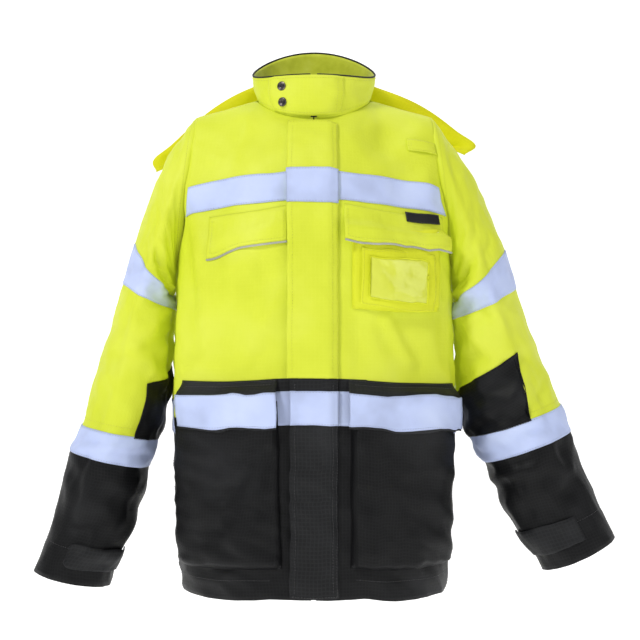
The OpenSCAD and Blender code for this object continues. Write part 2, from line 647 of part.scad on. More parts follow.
sleeve_tapes_right();
sleeve_tapes_left();
sleeve_lining_right();
sleeve_lining_left();
cuff_tab_right();
cuff_tab_left();
cuff_loop_right();
cuff_loop_left();
hood_shell();
hood_lining();
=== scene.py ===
import math

import bpy
import numpy as np
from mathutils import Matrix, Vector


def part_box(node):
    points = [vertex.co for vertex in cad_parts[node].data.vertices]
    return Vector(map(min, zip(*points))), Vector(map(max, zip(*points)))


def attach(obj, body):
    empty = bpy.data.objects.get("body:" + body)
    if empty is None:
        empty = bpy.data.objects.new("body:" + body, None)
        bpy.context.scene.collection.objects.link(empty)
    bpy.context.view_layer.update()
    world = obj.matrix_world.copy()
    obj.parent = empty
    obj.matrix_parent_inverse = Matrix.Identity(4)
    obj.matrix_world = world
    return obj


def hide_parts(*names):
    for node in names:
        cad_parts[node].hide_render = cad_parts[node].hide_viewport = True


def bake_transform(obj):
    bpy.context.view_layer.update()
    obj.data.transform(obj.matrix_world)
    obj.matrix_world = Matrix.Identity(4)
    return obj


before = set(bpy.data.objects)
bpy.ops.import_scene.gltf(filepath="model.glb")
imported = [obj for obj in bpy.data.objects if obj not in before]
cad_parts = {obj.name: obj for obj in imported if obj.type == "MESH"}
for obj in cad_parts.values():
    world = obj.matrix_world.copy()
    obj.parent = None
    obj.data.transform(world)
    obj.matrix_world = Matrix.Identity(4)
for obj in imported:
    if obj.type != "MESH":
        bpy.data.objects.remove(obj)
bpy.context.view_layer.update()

MM = 0.001
RNG = np.random.default_rng(7)

# ---- camera: level with the middle of the coat, two metres in front of it ------------------------
CAMERA_DISTANCE = 2.05
CAMERA_X = 0.0096
CAMERA_Z = -0.352
CAMERA_LENS = 72.0


def make_camera():
    data = bpy.data.cameras.new("camera")
    data.lens = CAMERA_LENS
    data.sensor_width = 36.0
    camera = bpy.data.objects.new("camera", data)
    camera.location = (CAMERA_X, -CAMERA_DISTANCE, CAMERA_Z)
    camera.rotation_euler = (math.pi / 2, 0, 0)
    bpy.context.scene.collection.objects.link(camera)
    bpy.context.scene.camera = camera


make_camera()

# ---- sizes, in millimetres, as in the CAD part ---------------------------------------------------
HEM_Z = -765.0
UNDER_Z = -264.0
DARK_Z = -495.0
CHEST_W = 217.0
FRONT_D = 148.0
BACK_D = 140.0
SECTION_POWER = 2.5
SHOULDER_X = 186.0
SHOULDER_Z = -28.0
ARMHOLE_D = 62.0
NECK_X = 90.0
NECK_FRONT = 88.0
NECK_BACK = 78.0
COLLAR_TOP_X = 99.0
COLLAR_TOP_Y = 85.0
TAPE_W = 50.8
STORM_FREE_X = -38.0
STORM_LOW_FREE_X = -34.0
STORM_HINGE_X = 36.0
FLAP_Z = -437.0
WAIST_TAPE_TOP = -456.0
CHEST_TAPE_TOP = -126.0


def smooth_table(pairs, width=40.0):
    """Heights and values with their corners rounded, for interpolation."""
    zs = np.array([p[0] for p in pairs], float)
    vs = np.array([p[1] for p in pairs], float)
    z = np.arange(zs[0], zs[-1] + 1, 4.0)
    v = np.interp(z, zs, vs)
    kernel = np.exp(-0.5 * (np.arange(-12, 13) * 4.0 / (width / 2)) ** 2)
    kernel /= kernel.sum()
    slope_low = v[1] - v[0]
    slope_top = v[-1] - v[-2]
    steps = np.arange(1, 13)
    padded = np.concatenate([v[0] - slope_low * steps[::-1], v, v[-1] + slope_top * steps])
    return z, np.convolve(padded, kernel, "valid")


HALF_W = smooth_table([(HEM_Z, CHEST_W - 8), (-656, CHEST_W - 1), (-560, CHEST_W + 4),
                       (-450, CHEST_W + 8), (-350, CHEST_W + 4), (UNDER_Z, CHEST_W)])
FRONT_AT = smooth_table([(HEM_Z, FRONT_D + 13.5), (UNDER_Z, FRONT_D)])
BACK_AT = smooth_table([(HEM_Z, BACK_D + 14), (-600, BACK_D + 14), (-450, BACK_D + 6), (UNDER_Z, BACK_D)])
CHEST_LINE = smooth_table([(UNDER_Z, -FRONT_D), (-200, 1.7 - FRONT_D), (-140, -137), (-90, -118),
                           (-60, -103), (-41, -NECK_FRONT)], 24)
BACK_LINE = smooth_table([(UNDER_Z, BACK_D), (-160, 147), (-80, 138), (-20, 112), (13, NECK_BACK)], 30)


def mix(a, b, t):
    return a + (b - a) * t


def stack(x, y, z):
    return np.stack(np.broadcast_arrays(x, y, z), axis=-1).astype(float)


def grow(v, e):
    return np.sign(v) * np.abs(v) ** e


def ring_pt(th, z):
    """Body below the armholes: th in degrees from the front centre."""
    e = 2 / SECTION_POWER
    c, s = np.cos(np.radians(th)), np.sin(np.radians(th))
    depth = np.where(c > 0, np.interp(z, *FRONT_AT), np.interp(z, *BACK_AT))
    return stack(np.interp(z, *HALF_W) * grow(s, e), -depth * grow(c, e), z)


def collar_base(th):
    c, s = np.cos(np.radians(th)), np.sin(np.radians(th))
    return stack(NECK_X * s, -np.where(c > 0, NECK_FRONT, NECK_BACK) * c, -27 * c - 14 * c * c)


def collar_top(th):
    c, s = np.cos(np.radians(th)), np.sin(np.radians(th))
    return stack(COLLAR_TOP_X * s, -COLLAR_TOP_Y * c, 40 - 33.5 * c + 18.5 * c * c)


def armhole_pt(t, face):
    mid, half = (UNDER_Z + SHOULDER_Z) / 2, (SHOULDER_Z - UNDER_Z) / 2
    z = mid - half * np.cos(np.pi * t)
    x = mix(SHOULDER_X, CHEST_W, (SHOULDER_Z - z) / (SHOULDER_Z - UNDER_Z))
    return stack(x, face * ARMHOLE_D * np.sin(np.pi * t), z)


def top_table(face):
    """The top edge of a quarter, along the collar seam and then the shoulder seam, corner rounded."""
    q = np.linspace(0, 1, 101)
    neck = collar_base(180 * q if face < 0 else 180 - 180 * q)
    corner = collar_base(90.0)
    end = np.array([SHOULDER_X, 0, SHOULDER_Z])
    seam = corner + (end - corner) * (2 * q - 1)[:, None]
    line = np.where((q <= 0.5)[:, None], neck, seam)
    rounded = line.copy()
    for _ in range(60):
        rounded[1:-1] = 0.25 * rounded[:-2] + 0.5 * rounded[1:-1] + 0.25 * rounded[2:]
    return q, rounded


TOP = {-1: top_table(-1), 1: top_table(1)}


def top_pt(q, face):
    table = TOP[face]
    return stack(*[np.interp(q, table[0], table[1][:, k]) for k in range(3)])


def centre_pt(s, face):
    z = mix(UNDER_Z, -41.0 if face < 0 else 13.0, s)
    return stack(0.0, np.interp(z, *(CHEST_LINE if face < 0 else BACK_LINE)), z)


def quarter_pt(q, s, face):
    """A quarter above the armhole level: q from the centre to the armhole, s from 0 to 1 upwards."""
    q, s = np.broadcast_arrays(np.asarray(q, float), np.asarray(s, float))
    a, b = q[..., None], s[..., None]
    low = ring_pt(90 * q if face < 0 else 180 - 90 * q, UNDER_Z)
    edges = (1 - b) * low + b * top_pt(q, face) + (1 - a) * centre_pt(s, face) + a * armhole_pt(s, face)
    corners = ((1 - a) * (1 - b) * centre_pt(0.0, face) + a * (1 - b) * armhole_pt(0.0, face)
               + (1 - a) * b * centre_pt(1.0, face) + a * b * armhole_pt(1.0, face))
    return edges - corners


def upper_pt(th, s):
    th, s = np.broadcast_arrays(np.asarray(th, float), np.asarray(s, float))
    a = np.abs(th)
    front = quarter_pt(np.minimum(a, 90) / 90, s, -1)
    back = quarter_pt((180 - np.maximum(a, 90)) / 90, s, 1)
    p = np.where((a <= 90)[..., None], front, back)
    p[..., 0] *= np.where(th < 0, -1, 1)
    return p


def base_pt(th, v):
    """The undraped coat: v is a height below the armholes (mm, under 0) or a fraction above them."""
    th, v = np.broadcast_arrays(np.asarray(th, float), np.asarray(v, float))
    return np.where((v <= 0)[..., None], ring_pt(th, UNDER_Z + np.minimum(v, 0)),
                    upper_pt(th, np.clip(v, 0, 1)))


def level(th, z):
    """The v at which the coat reaches a height z, at angle th."""
    th, z = np.broadcast_arrays(np.asarray(th, float), np.asarray(z, float))
    lo, hi = np.zeros(th.shape), np.ones(th.shape)
    for _ in range(16):
        m = (lo + hi) / 2
        under = upper_pt(th, m)[..., 2] < z
        lo, hi = np.where(under, m, lo), np.where(under, hi, m)
    return np.where(z <= UNDER_Z, z - UNDER_Z, (lo + hi) / 2)


def angle(x, z):
    """The angle th at which the front of the coat reaches a given x, at height z."""
    x, z = np.broadcast_arrays(np.asarray(x, float), np.asarray(z, float))
    lo, hi = np.zeros(x.shape), np.full(x.shape, 90.0)
    for _ in range(15):
        m = (lo + hi) / 2
        near = base_pt(m, level(m, z))[..., 0] < np.abs(x)
        lo, hi = np.where(near, m, lo), np.where(near, hi, m)
    return np.sign(x) * (lo + hi) / 2


# ---- drape: soft folds added along the surface normal --------------------------------------------
def crease(p, start, end, width, height):
    """A soft ridge (or a valley, height under 0) along a segment in the front view."""
    start, end = np.array(start, float), np.array(end, float)
    along = end - start
    length = np.hypot(*along)
    along = along / length
    rel = p[..., [0, 2]] - start
    t = rel @ along
    d = rel @ np.array([-along[1], along[0]])
    inside = np.exp(-0.5 * (np.maximum(0, np.abs(t - length / 2) - length / 2 + width) / (1.2 * width)) ** 2)
    return height * inside * np.exp(-0.5 * (d / width) ** 2)


# start [x, z], end [x, z], half width and height of each fold
FRONT_FOLDS = [
    ((-200, -180), (-186, -400), 12, -8), ((-172, -215), (-176, -420), 13, 5),
    ((-150, -250), (-120, -420), 12, -3), ((-120, -265), (-150, -430), 14, 3),
    ((-95, -262), (-64, -350), 11, 3), ((-70, -250), (-95, -420), 13, -2.5),
    ((-48, -300), (-110, -425), 10, 2.5), ((-60, -205), (-70, -260), 12, 2),
    ((108, -340), (150, -412), 7, 4.5), ((126, -336), (165, -420), 9, -4),
    ((80, -345), (104, -425), 10, 2.5), ((60, -350), (66, -430), 9, -2.5),
    ((196, -250), (205, -420), 13, -6), ((180, -345), (192, -430), 11, 4),
    ((-150, -60), (-95, -115), 12, 3), ((-110, -52), (-50, -80), 10, -2.5), ((-168, -90), (-120, -125), 11, 3),
    ((120, -50), (80, -118), 12, -3), ((100, -46), (48, -75), 9, 3), ((160, -60), (120, -112), 10, 3),
    ((178, -100), (140, -128), 9, -3), ((-90, -70), (-60, -120), 12, -2.5), ((60, -80), (110, -120), 10, 2),
    ((-182, -60), (-190, -170), 9, -4), ((188, -60), (196, -170), 9, -4),
]
BACK_FOLDS = [
    ((-150, -250), (-90, -480), 20, 6), ((150, -250), (95, -480), 20, 6), ((0, -300), (10, -500), 24, -5),
    ((-60, -320), (-40, -500), 15, 4), ((70, -330), (55, -500), 15, -4),
    ((-110, -540), (-130, -740), 22, 5), ((100, -540), (120, -740), 22, 5), ((0, -560), (-8, -750), 24, 6),
    ((-120, -60), (-60, -150), 14, 3), ((120, -60), (60, -150), 14, 3),
]


def drape(p):
    """Height of the folds at base points p."""
    front = np.clip(-p[..., 1] / 40, 0, 1)
    back = np.clip(p[..., 1] / 40, 0, 1)
    total = np.zeros(p.shape[:-1])
    for fold in FRONT_FOLDS:
        total += front * crease(p, *fold)
    for fold in BACK_FOLDS:
        total += back * crease(p, *fold)
    x, y, z = p[..., 0], p[..., 1], p[..., 2]
    side = np.arctan2(y, x)
    ripple = np.sin(3 * side + z / 95) * np.sin(z / 61 + 1.3 + 2 * side) + 0.6 * np.sin(5 * side - z / 47)
    total = total + 0.7 * ripple * np.clip((-z - 60) / 120, 0, 1)
    sides = 0.45 + 0.55 * ease((np.abs(x) - 60) / 100) + 0.5 * ease((-z - 520) / 80) + 0.8 * back
    return total + 1.7 * sides * crumple(190 * np.arctan2(x, np.abs(y)), z + 0.4 * y, 90, 120) * ease((-z - 30) / 60)


def normals(p, wrap=False):
    """Outward unit normals of a grid of points: columns by rows points out."""
    if wrap:
        ring = np.concatenate([p[:, -1:], p, p[:, :1]], axis=1)
        across = (ring[:, 2:] - ring[:, :-2]) / 2
    else:
        across = np.gradient(p, axis=1)
    up = np.gradient(p, axis=0)
    n = np.cross(across, up)
    size = np.linalg.norm(n, axis=-1, keepdims=True)
    return n / np.maximum(size, 1e-9)


SIM_TH = np.linspace(-180, 180, 109)
SIM_V = np.concatenate([np.linspace(HEM_Z - UNDER_Z, 0, 45), np.linspace(0, 1, 23)[1:]])
SIM_SHIFT = np.zeros((len(SIM_V), len(SIM_TH), 3))


def simulated(th, v):
    """Cloth simulation's displacement, interpolated at th, v."""
    th, v = np.broadcast_arrays(np.asarray(th, float), np.asarray(v, float))
    i = np.clip(np.searchsorted(SIM_V, v) - 1, 0, len(SIM_V) - 2)
    fv = np.clip((v - SIM_V[i]) / (SIM_V[i + 1] - SIM_V[i]), 0, 1)[..., None]
    step = SIM_TH[1] - SIM_TH[0]
    j = np.clip(((th - SIM_TH[0]) / step).astype(int), 0, len(SIM_TH) - 2)
    ft = np.clip((th - SIM_TH[j]) / step, 0, 1)[..., None]
    return ((SIM_SHIFT[i, j] * (1 - ft) + SIM_SHIFT[i, j + 1] * ft) * (1 - fv)
            + (SIM_SHIFT[i + 1, j] * (1 - ft) + SIM_SHIFT[i + 1, j + 1] * ft) * fv)


def coat_grid(th, v, off=0.0, share=1.0):
    """A grid of points on the draped coat, lifted by off; share is how much of the folds it follows."""
    p = base_pt(th, v)
    q = p + normals(p) * (drape(p) * share)[..., None] + simulated(th, v) * share
    return q + normals(q) * np.asarray(off * np.ones(p.shape[:-1]))[..., None]


# ---- meshes --------------------------------------------------------------------------------------
def lengths(p, axis):
    d = np.linalg.norm(np.diff(p, axis=axis), axis=-1)
    zero = np.zeros_like(np.take(d, [0], axis=axis))
    return np.concatenate([zero, np.cumsum(d, axis=axis)], axis=axis)


def mesh_object(name, verts, faces, smooth=None, cloth=None):
    mesh = bpy.data.meshes.new(name)
    mesh.from_pydata((np.asarray(verts) * MM).tolist(), [], [list(f) for f in faces])
    flags = np.ones(len(faces), bool) if smooth is None else np.asarray(smooth, bool)
    mesh.polygons.foreach_set("use_smooth", flags)
    if cloth is not None:
        layer = mesh.attributes.new("cloth", "FLOAT_VECTOR", "POINT")
        layer.data.foreach_set("vector", np.asarray(cloth, np.float32).ravel() * MM)
    mesh.update()
    obj = bpy.data.objects.new(name, mesh)
    bpy.context.scene.collection.objects.link(obj)
    return obj


def grid_faces(rows, cols, wrap, start=0, flip=False):
    r, c = np.meshgrid(np.arange(rows - 1), np.arange(cols if wrap else cols - 1), indexing="ij")
    n = (c + 1) % cols
    quad = np.stack([r * cols + c, r * cols + n, (r + 1) * cols + n, (r + 1) * cols + c], -1).reshape(-1, 4)
    return (quad[:, ::-1] if flip else quad) + start


def sheet(name, outer, thick=1.2, wrap=False, inner=None):
    """A closed sheet of cloth from a grid of outer points."""
    outer = np.asarray(outer, float)
    rows, cols = outer.shape[:2]
    if inner is None:
        inner = outer - normals(outer, wrap) * thick
    size = rows * cols
    index = np.arange(size).reshape(rows, cols)
    faces = [grid_faces(rows, cols, wrap), grid_faces(rows, cols, wrap, size, True)]

    def rim(line):
        a, b = line[:-1], line[1:]
        return np.stack([b, a, a + size, b + size], -1)

    low, top = index[0], index[-1]
    if wrap:
        low, top = np.append(low, low[0]), np.append(top, top[0])
    rims = [rim(low), rim(top[::-1])]
    if not wrap:
        rims += [rim(index[::-1, 0]), rim(index[:, -1])]
    skins = np.concatenate(faces)
    rims = np.concatenate(rims)
    u, v = lengths(outer, 1), lengths(outer, 0)
    near = np.minimum(v, v[-1:] - v)
    if not wrap:
        near = np.minimum(near, np.minimum(u, u[:, -1:] - u))
    cloth = np.stack([u, v, near], -1).reshape(-1, 3)
    return mesh_object(name, np.concatenate([outer.reshape(-1, 3), inner.reshape(-1, 3)]),
                       np.concatenate([skins, rims]),
                       np.concatenate([np.ones(len(skins), bool), np.zeros(len(rims), bool)]),
                       np.concatenate([cloth, cloth]))


def resample(line, pitch):
    d = lengths(line[None], 1)[0]
    count = max(2, int(d[-1] / pitch))
    t = np.linspace(0, d[-1], count + 1)
    return np.stack([np.interp(t, d, line[:, k]) for k in range(3)], -1)


def stitches(name, lines, pitch=4.2, radius=0.38):
    """Rows of raised stitches along lines that lie on the cloth; each stitch is a small spindle."""
    verts, faces = [], []
    for line in lines:
        pts = resample(np.asarray(line, float), pitch)
        for a, b in zip(pts[:-1], pts[1:]):
            d = (b - a) / np.linalg.norm(b - a)
            p, q = a + (b - a) * 0.14, a + (b - a) * 0.86
            side = np.cross(d, [0.3, -0.9, 0.31])
            side /= max(np.linalg.norm(side), 1e-6)
            up = np.cross(side, d)
            mid = (p + q) / 2
            n = len(verts)
            verts += [p, q, mid + side * radius, mid + up * radius, mid - side * radius, mid - up * radius]
            ring = [n + 2, n + 3, n + 4, n + 5]
            for k in range(4):
                faces += [(n, ring[(k + 1) % 4], ring[k]), (n + 1, ring[k], ring[(k + 1) % 4])]
    return mesh_object(name, verts, faces)


def lathe(name, profile, origin, axis, turns=40):
    """A turned piece: profile is [radius, height] along axis from origin."""
    axis = np.array(axis, float) / np.linalg.norm(axis)
    side = np.cross(axis, [0, 0, 1])
    side /= np.linalg.norm(side)
    up = np.cross(axis, side)
    a = np.radians(np.arange(turns) * 360 / turns)
    verts = [np.array(origin) + axis * h + r * (np.cos(t) * side + np.sin(t) * up) for r, h in profile for t in a]
    faces = [tuple(f) for f in grid_faces(len(profile), turns, True)]
    faces += [tuple(range(turns))[::-1], tuple(len(verts) - turns + k for k in range(turns))]
    return mesh_object(name, verts, faces)


def merge(name, objects):
    """Join pieces of one material into one mesh."""
    verts, faces, smooth, cloth, start = [], [], [], [], 0
    for obj in objects:
        mesh = obj.data
        co = np.empty(len(mesh.vertices) * 3, np.float32)
        mesh.vertices.foreach_get("co", co)
        verts.append(co.reshape(-1, 3) / MM)
        faces += [[start + k for k in f.vertices] for f in mesh.polygons]
        smooth += [f.use_smooth for f in mesh.polygons]
        layer = mesh.attributes.get("cloth")
        uv = np.zeros(len(mesh.vertices) * 3, np.float32)
        if layer:
            layer.data.foreach_get("vector", uv)
        cloth.append(uv.reshape(-1, 3) / MM)
        start += len(mesh.vertices)
        bpy.data.objects.remove(obj)
    return mesh_object(name, np.concatenate(verts), faces, smooth, np.concatenate(cloth))


# ---- materials -----------------------------------------------------------------------------------
class Nodes:
    """A small helper that adds and links shader nodes."""

    def __init__(self, name):
        self.material = bpy.data.materials.new(name)
        self.material.use_nodes = True
        self.tree = self.material.node_tree
        self.shader = self.tree.nodes["Principled BSDF"]

    def add(self, kind, **inputs):
        node = self.tree.nodes.new(kind)
        for key, value in inputs.items():
            if key.startswith("p_"):
                setattr(node, key[2:], value)
        return node

    def link(self, out, into):
        self.tree.links.new(out, into)

    def value(self, node, socket, v):
        if hasattr(v, "is_linked"):
            self.link(v, node.inputs[socket])
        else:
            node.inputs[socket].default_value = v

    def math(self, op, a, b=0.0, clamp=False):
        node = self.add("ShaderNodeMath", p_operation=op, p_use_clamp=clamp)
        self.value(node, 0, a)
        self.value(node, 1, b)
        return node.outputs[0]

    def noise(self, vector, scale, detail=3.0, rough=0.5):
        node = self.add("ShaderNodeTexNoise")
        self.link(vector, node.inputs["Vector"])
        node.inputs["Scale"].default_value = scale
        node.inputs["Detail"].default_value = detail
        node.inputs["Roughness"].default_value = rough
        return node.outputs["Fac"]

    def ramp(self, fac, stops):
        node = self.add("ShaderNodeValToRGB")
        self.link(fac, node.inputs[0])
        ramp = node.color_ramp
        while len(ramp.elements) < len(stops):
            ramp.elements.new(0.5)
        for element, (place, colour) in zip(ramp.elements, stops):
            element.position = place
            element.color = (*colour, 1)
        return node.outputs[0]

    def blend(self, fac, a, b):
        node = self.add("ShaderNodeMix", p_data_type="RGBA")
        self.value(node, 0, fac)
        for socket, v in ((6, a), (7, b)):
            if hasattr(v, "is_linked"):
                self.link(v, node.inputs[socket])
            else:
                node.inputs[socket].default_value = (*v, 1)
        return node.outputs[2]

    def bump(self, height, strength, distance, normal=None):
        node = self.add("ShaderNodeBump")
        self.link(height, node.inputs["Height"])
        node.inputs["Strength"].default_value = strength
        node.inputs["Distance"].default_value = distance
        if normal is not None:
            self.link(normal, node.inputs["Normal"])
        return node.outputs[0]

    def set(self, **values):
        for key, v in values.items():
            self.value(self.shader, key.replace("_", " "), v)


def cloth_coords(n):
    """The cloth's own coordinates in metres: across, along, and distance from the nearest edge."""
    attribute = n.add("ShaderNodeAttribute", p_attribute_name="cloth")
    split = n.add("ShaderNodeSeparateXYZ")
    n.link(attribute.outputs["Vector"], split.inputs[0])
    return attribute.outputs["Vector"], split.outputs


def weave(n, split, pitch):
    """Threads crossing at a pitch in metres, 0 to 1."""
    u = n.math("SINE", n.math("MULTIPLY", split[0], math.pi / pitch))
    v = n.math("SINE", n.math("MULTIPLY", split[1], math.pi / pitch))
    return n.math("ADD", n.math("MULTIPLY", n.math("ABSOLUTE", u), 0.5), n.math("MULTIPLY", n.math("ABSOLUTE", v), 0.5))


def ripstop(n, split, pitch, sharp=10.0):
    """Thicker threads that cross the weave in a square grid."""
    lines = []
    for axis in (0, 1):
        wave = n.math("ABSOLUTE", n.math("COSINE", n.math("MULTIPLY", split[axis], math.pi / pitch)))
        lines.append(n.math("POWER", wave, sharp))
    return n.math("MAXIMUM", lines[0], lines[1])


def fabric(name, colour, deep, pale, pitch=0.0011, rip=0.006, rough=0.62, sheen=0.25, painted_glow=0.0, rip_show=0.3,
           wear=0.35, spec=0.3):
    """Coated woven cloth: weave, ripstop threads, patchy colour, pale worn edges and, where painted_glow is set, a
    painted glow that keeps its shaded parts bright.
    """
    n = Nodes(name)
    vector, split = cloth_coords(n)
    place = n.add("ShaderNodeTexCoord").outputs["Object"]
    threads = weave(n, split, pitch)
    grid = ripstop(n, split, rip)
    patches = n.noise(place, 9.0, 4.0)
    fine = n.noise(place, 260.0, 2.0)
    tone = n.ramp(patches, [(0.3, deep), (0.5, colour), (0.72, pale)])
    thread_tone = n.blend(n.math("MULTIPLY", threads, 0.35), tone, deep)
    grid_tone = n.blend(n.math("MULTIPLY", grid, rip_show), thread_tone, pale)
    edge = n.math("SUBTRACT", 1.0, n.math("MULTIPLY", split[2], 1 / 0.0035), clamp=True)
    worn = n.math("MULTIPLY", n.math("MULTIPLY", edge, fine), wear)
    n.set(Base_Color=n.blend(worn, grid_tone, pale))
    n.set(Roughness=n.math("ADD", n.math("MULTIPLY", fine, 0.16), rough - 0.08))
    height = n.math("ADD", n.math("MULTIPLY", threads, 0.6), n.math("MULTIPLY", grid, 0.5))
    coarse = n.bump(n.noise(place, 38.0, 4.0, 0.6), 0.22, 0.004)
    n.link(n.bump(height, 0.5, 0.00025, coarse), n.shader.inputs["Normal"])
    n.shader.inputs["Sheen Weight"].default_value = sheen
    n.shader.inputs["Sheen Roughness"].default_value = 0.5
    n.shader.inputs["Sheen Tint"].default_value = (*pale, 1)
    n.shader.inputs["Specular IOR Level"].default_value = spec
    # painted glow: a faint emission in the cloth's own colour that lifts its shade, though the cloth is no lamp
    if painted_glow:
        n.shader.inputs["Emission Color"].default_value = (*colour, 1)
        n.shader.inputs["Emission Strength"].default_value = painted_glow
    return n.material


def bead_tape(name, colour, pale, rough=0.62):
    """Retroreflective tape: fine glass beads, faint scuffs and darker handled edges."""
    n = Nodes(name)
    vector, split = cloth_coords(n)
    place = n.add("ShaderNodeTexCoord").outputs["Object"]
    beads = n.noise(place, 2400.0, 1.0)
    patches = n.noise(place, 14.0, 3.0)
    deep = tuple(c * 0.82 for c in colour)
    tone = n.ramp(patches, [(0.3, deep), (0.5, colour), (0.75, pale)])
    edge = n.math("SUBTRACT", 1.0, n.math("MULTIPLY", split[2], 1 / 0.002), clamp=True)
    n.set(Base_Color=n.blend(n.math("MULTIPLY", edge, 0.45), tone, tuple(c * 0.55 for c in colour)))
    n.set(Roughness=n.math("ADD", n.math("MULTIPLY", patches, 0.2), rough - 0.1))
    coarse = n.bump(n.noise(place, 30.0, 4.0, 0.6), 0.2, 0.004)
    n.link(n.bump(beads, 0.25, 0.0002, coarse), n.shader.inputs["Normal"])
    n.shader.inputs["Specular IOR Level"].default_value = 0.3
    n.shader.inputs["Sheen Weight"].default_value = 0.15
    n.shader.inputs["Sheen Tint"].default_value = (*pale, 1)
    return n.material


def fleece(name, colour, deep, pale):
    """Brushed fleece: a soft pile with strong sheen."""
    n = Nodes(name)
    place = n.add("ShaderNodeTexCoord").outputs["Object"]
    pile = n.noise(place, 520.0, 4.0, 0.7)
    patches = n.noise(place, 40.0, 3.0)
    tone = n.ramp(patches, [(0.3, deep), (0.55, colour), (0.8, pale)])
    n.set(Base_Color=n.blend(n.math("MULTIPLY", pile, 0.4), tone, deep))
    n.shader.inputs["Roughness"].default_value = 0.95
    n.shader.inputs["Sheen Weight"].default_value = 0.6
    n.shader.inputs["Sheen Roughness"].default_value = 0.4
    n.link(n.bump(pile, 0.6, 0.0008), n.shader.inputs["Normal"])
    return n.material


def thread(name, colour, deep):
    """Sewing thread: plies seen as fine diagonal light and dark."""
    n = Nodes(name)
    place = n.add("ShaderNodeTexCoord").outputs["Object"]
    ply = n.noise(place, 1500.0, 2.0)
    n.set(Base_Color=n.ramp(ply, [(0.35, deep), (0.6, colour)]))
    n.shader.inputs["Roughness"].default_value = 0.5
    n.shader.inputs["Sheen Weight"].default_value = 0.3
    n.link(n.bump(ply, 0.4, 0.0002), n.shader.inputs["Normal"])
    return n.material


def metal(name, colour, worn, rough=0.32):
    """Plated metal, rubbed bright in places and finely scratched."""
    n = Nodes(name)
    place = n.add("ShaderNodeTexCoord").outputs["Object"]
    patches = n.noise(place, 210.0, 4.0)
    scratch = n.noise(place, 1800.0, 2.0)
    n.set(Base_Color=n.ramp(patches, [(0.42, colour), (0.75, worn)]))
    n.set(Roughness=n.math("ADD", n.math("MULTIPLY", patches, 0.25), rough - 0.1))
    n.shader.inputs["Metallic"].default_value = 1.0
    n.link(n.bump(scratch, 0.2, 0.0001), n.shader.inputs["Normal"])
    return n.material


def plastic(name, colour, pale, rough=0.35):
    """Moulded plastic with a faint grain."""
    n = Nodes(name)
    place = n.add("ShaderNodeTexCoord").outputs["Object"]
    grain = n.noise(place, 900.0, 3.0)
    patches = n.noise(place, 60.0, 3.0)
    n.set(Base_Color=n.ramp(patches, [(0.35, colour), (0.8, pale)]))
    n.set(Roughness=n.math("ADD", n.math("MULTIPLY", grain, 0.15), rough))
    n.link(n.bump(grain, 0.15, 0.0002), n.shader.inputs["Normal"])
    return n.material


def film(name, colour, deep):
    """Clear vinyl over bright cloth: glossy, slightly rippled, a trace of haze."""
    n = Nodes(name)
    place = n.add("ShaderNodeTexCoord").outputs["Object"]
    ripple = n.noise(place, 34.0, 2.0)
    haze = n.noise(place, 16.0, 3.0)
    n.set(Base_Color=n.ramp(haze, [(0.35, deep), (0.7, colour)]))
    n.set(Roughness=n.math("ADD", n.math("MULTIPLY", haze, 0.12), 0.12))
    n.shader.inputs["Coat Weight"].default_value = 0.6
    n.shader.inputs["Coat Roughness"].default_value = 0.08
    n.link(n.bump(ripple, 0.5, 0.006), n.shader.inputs["Normal"])
    return n.material


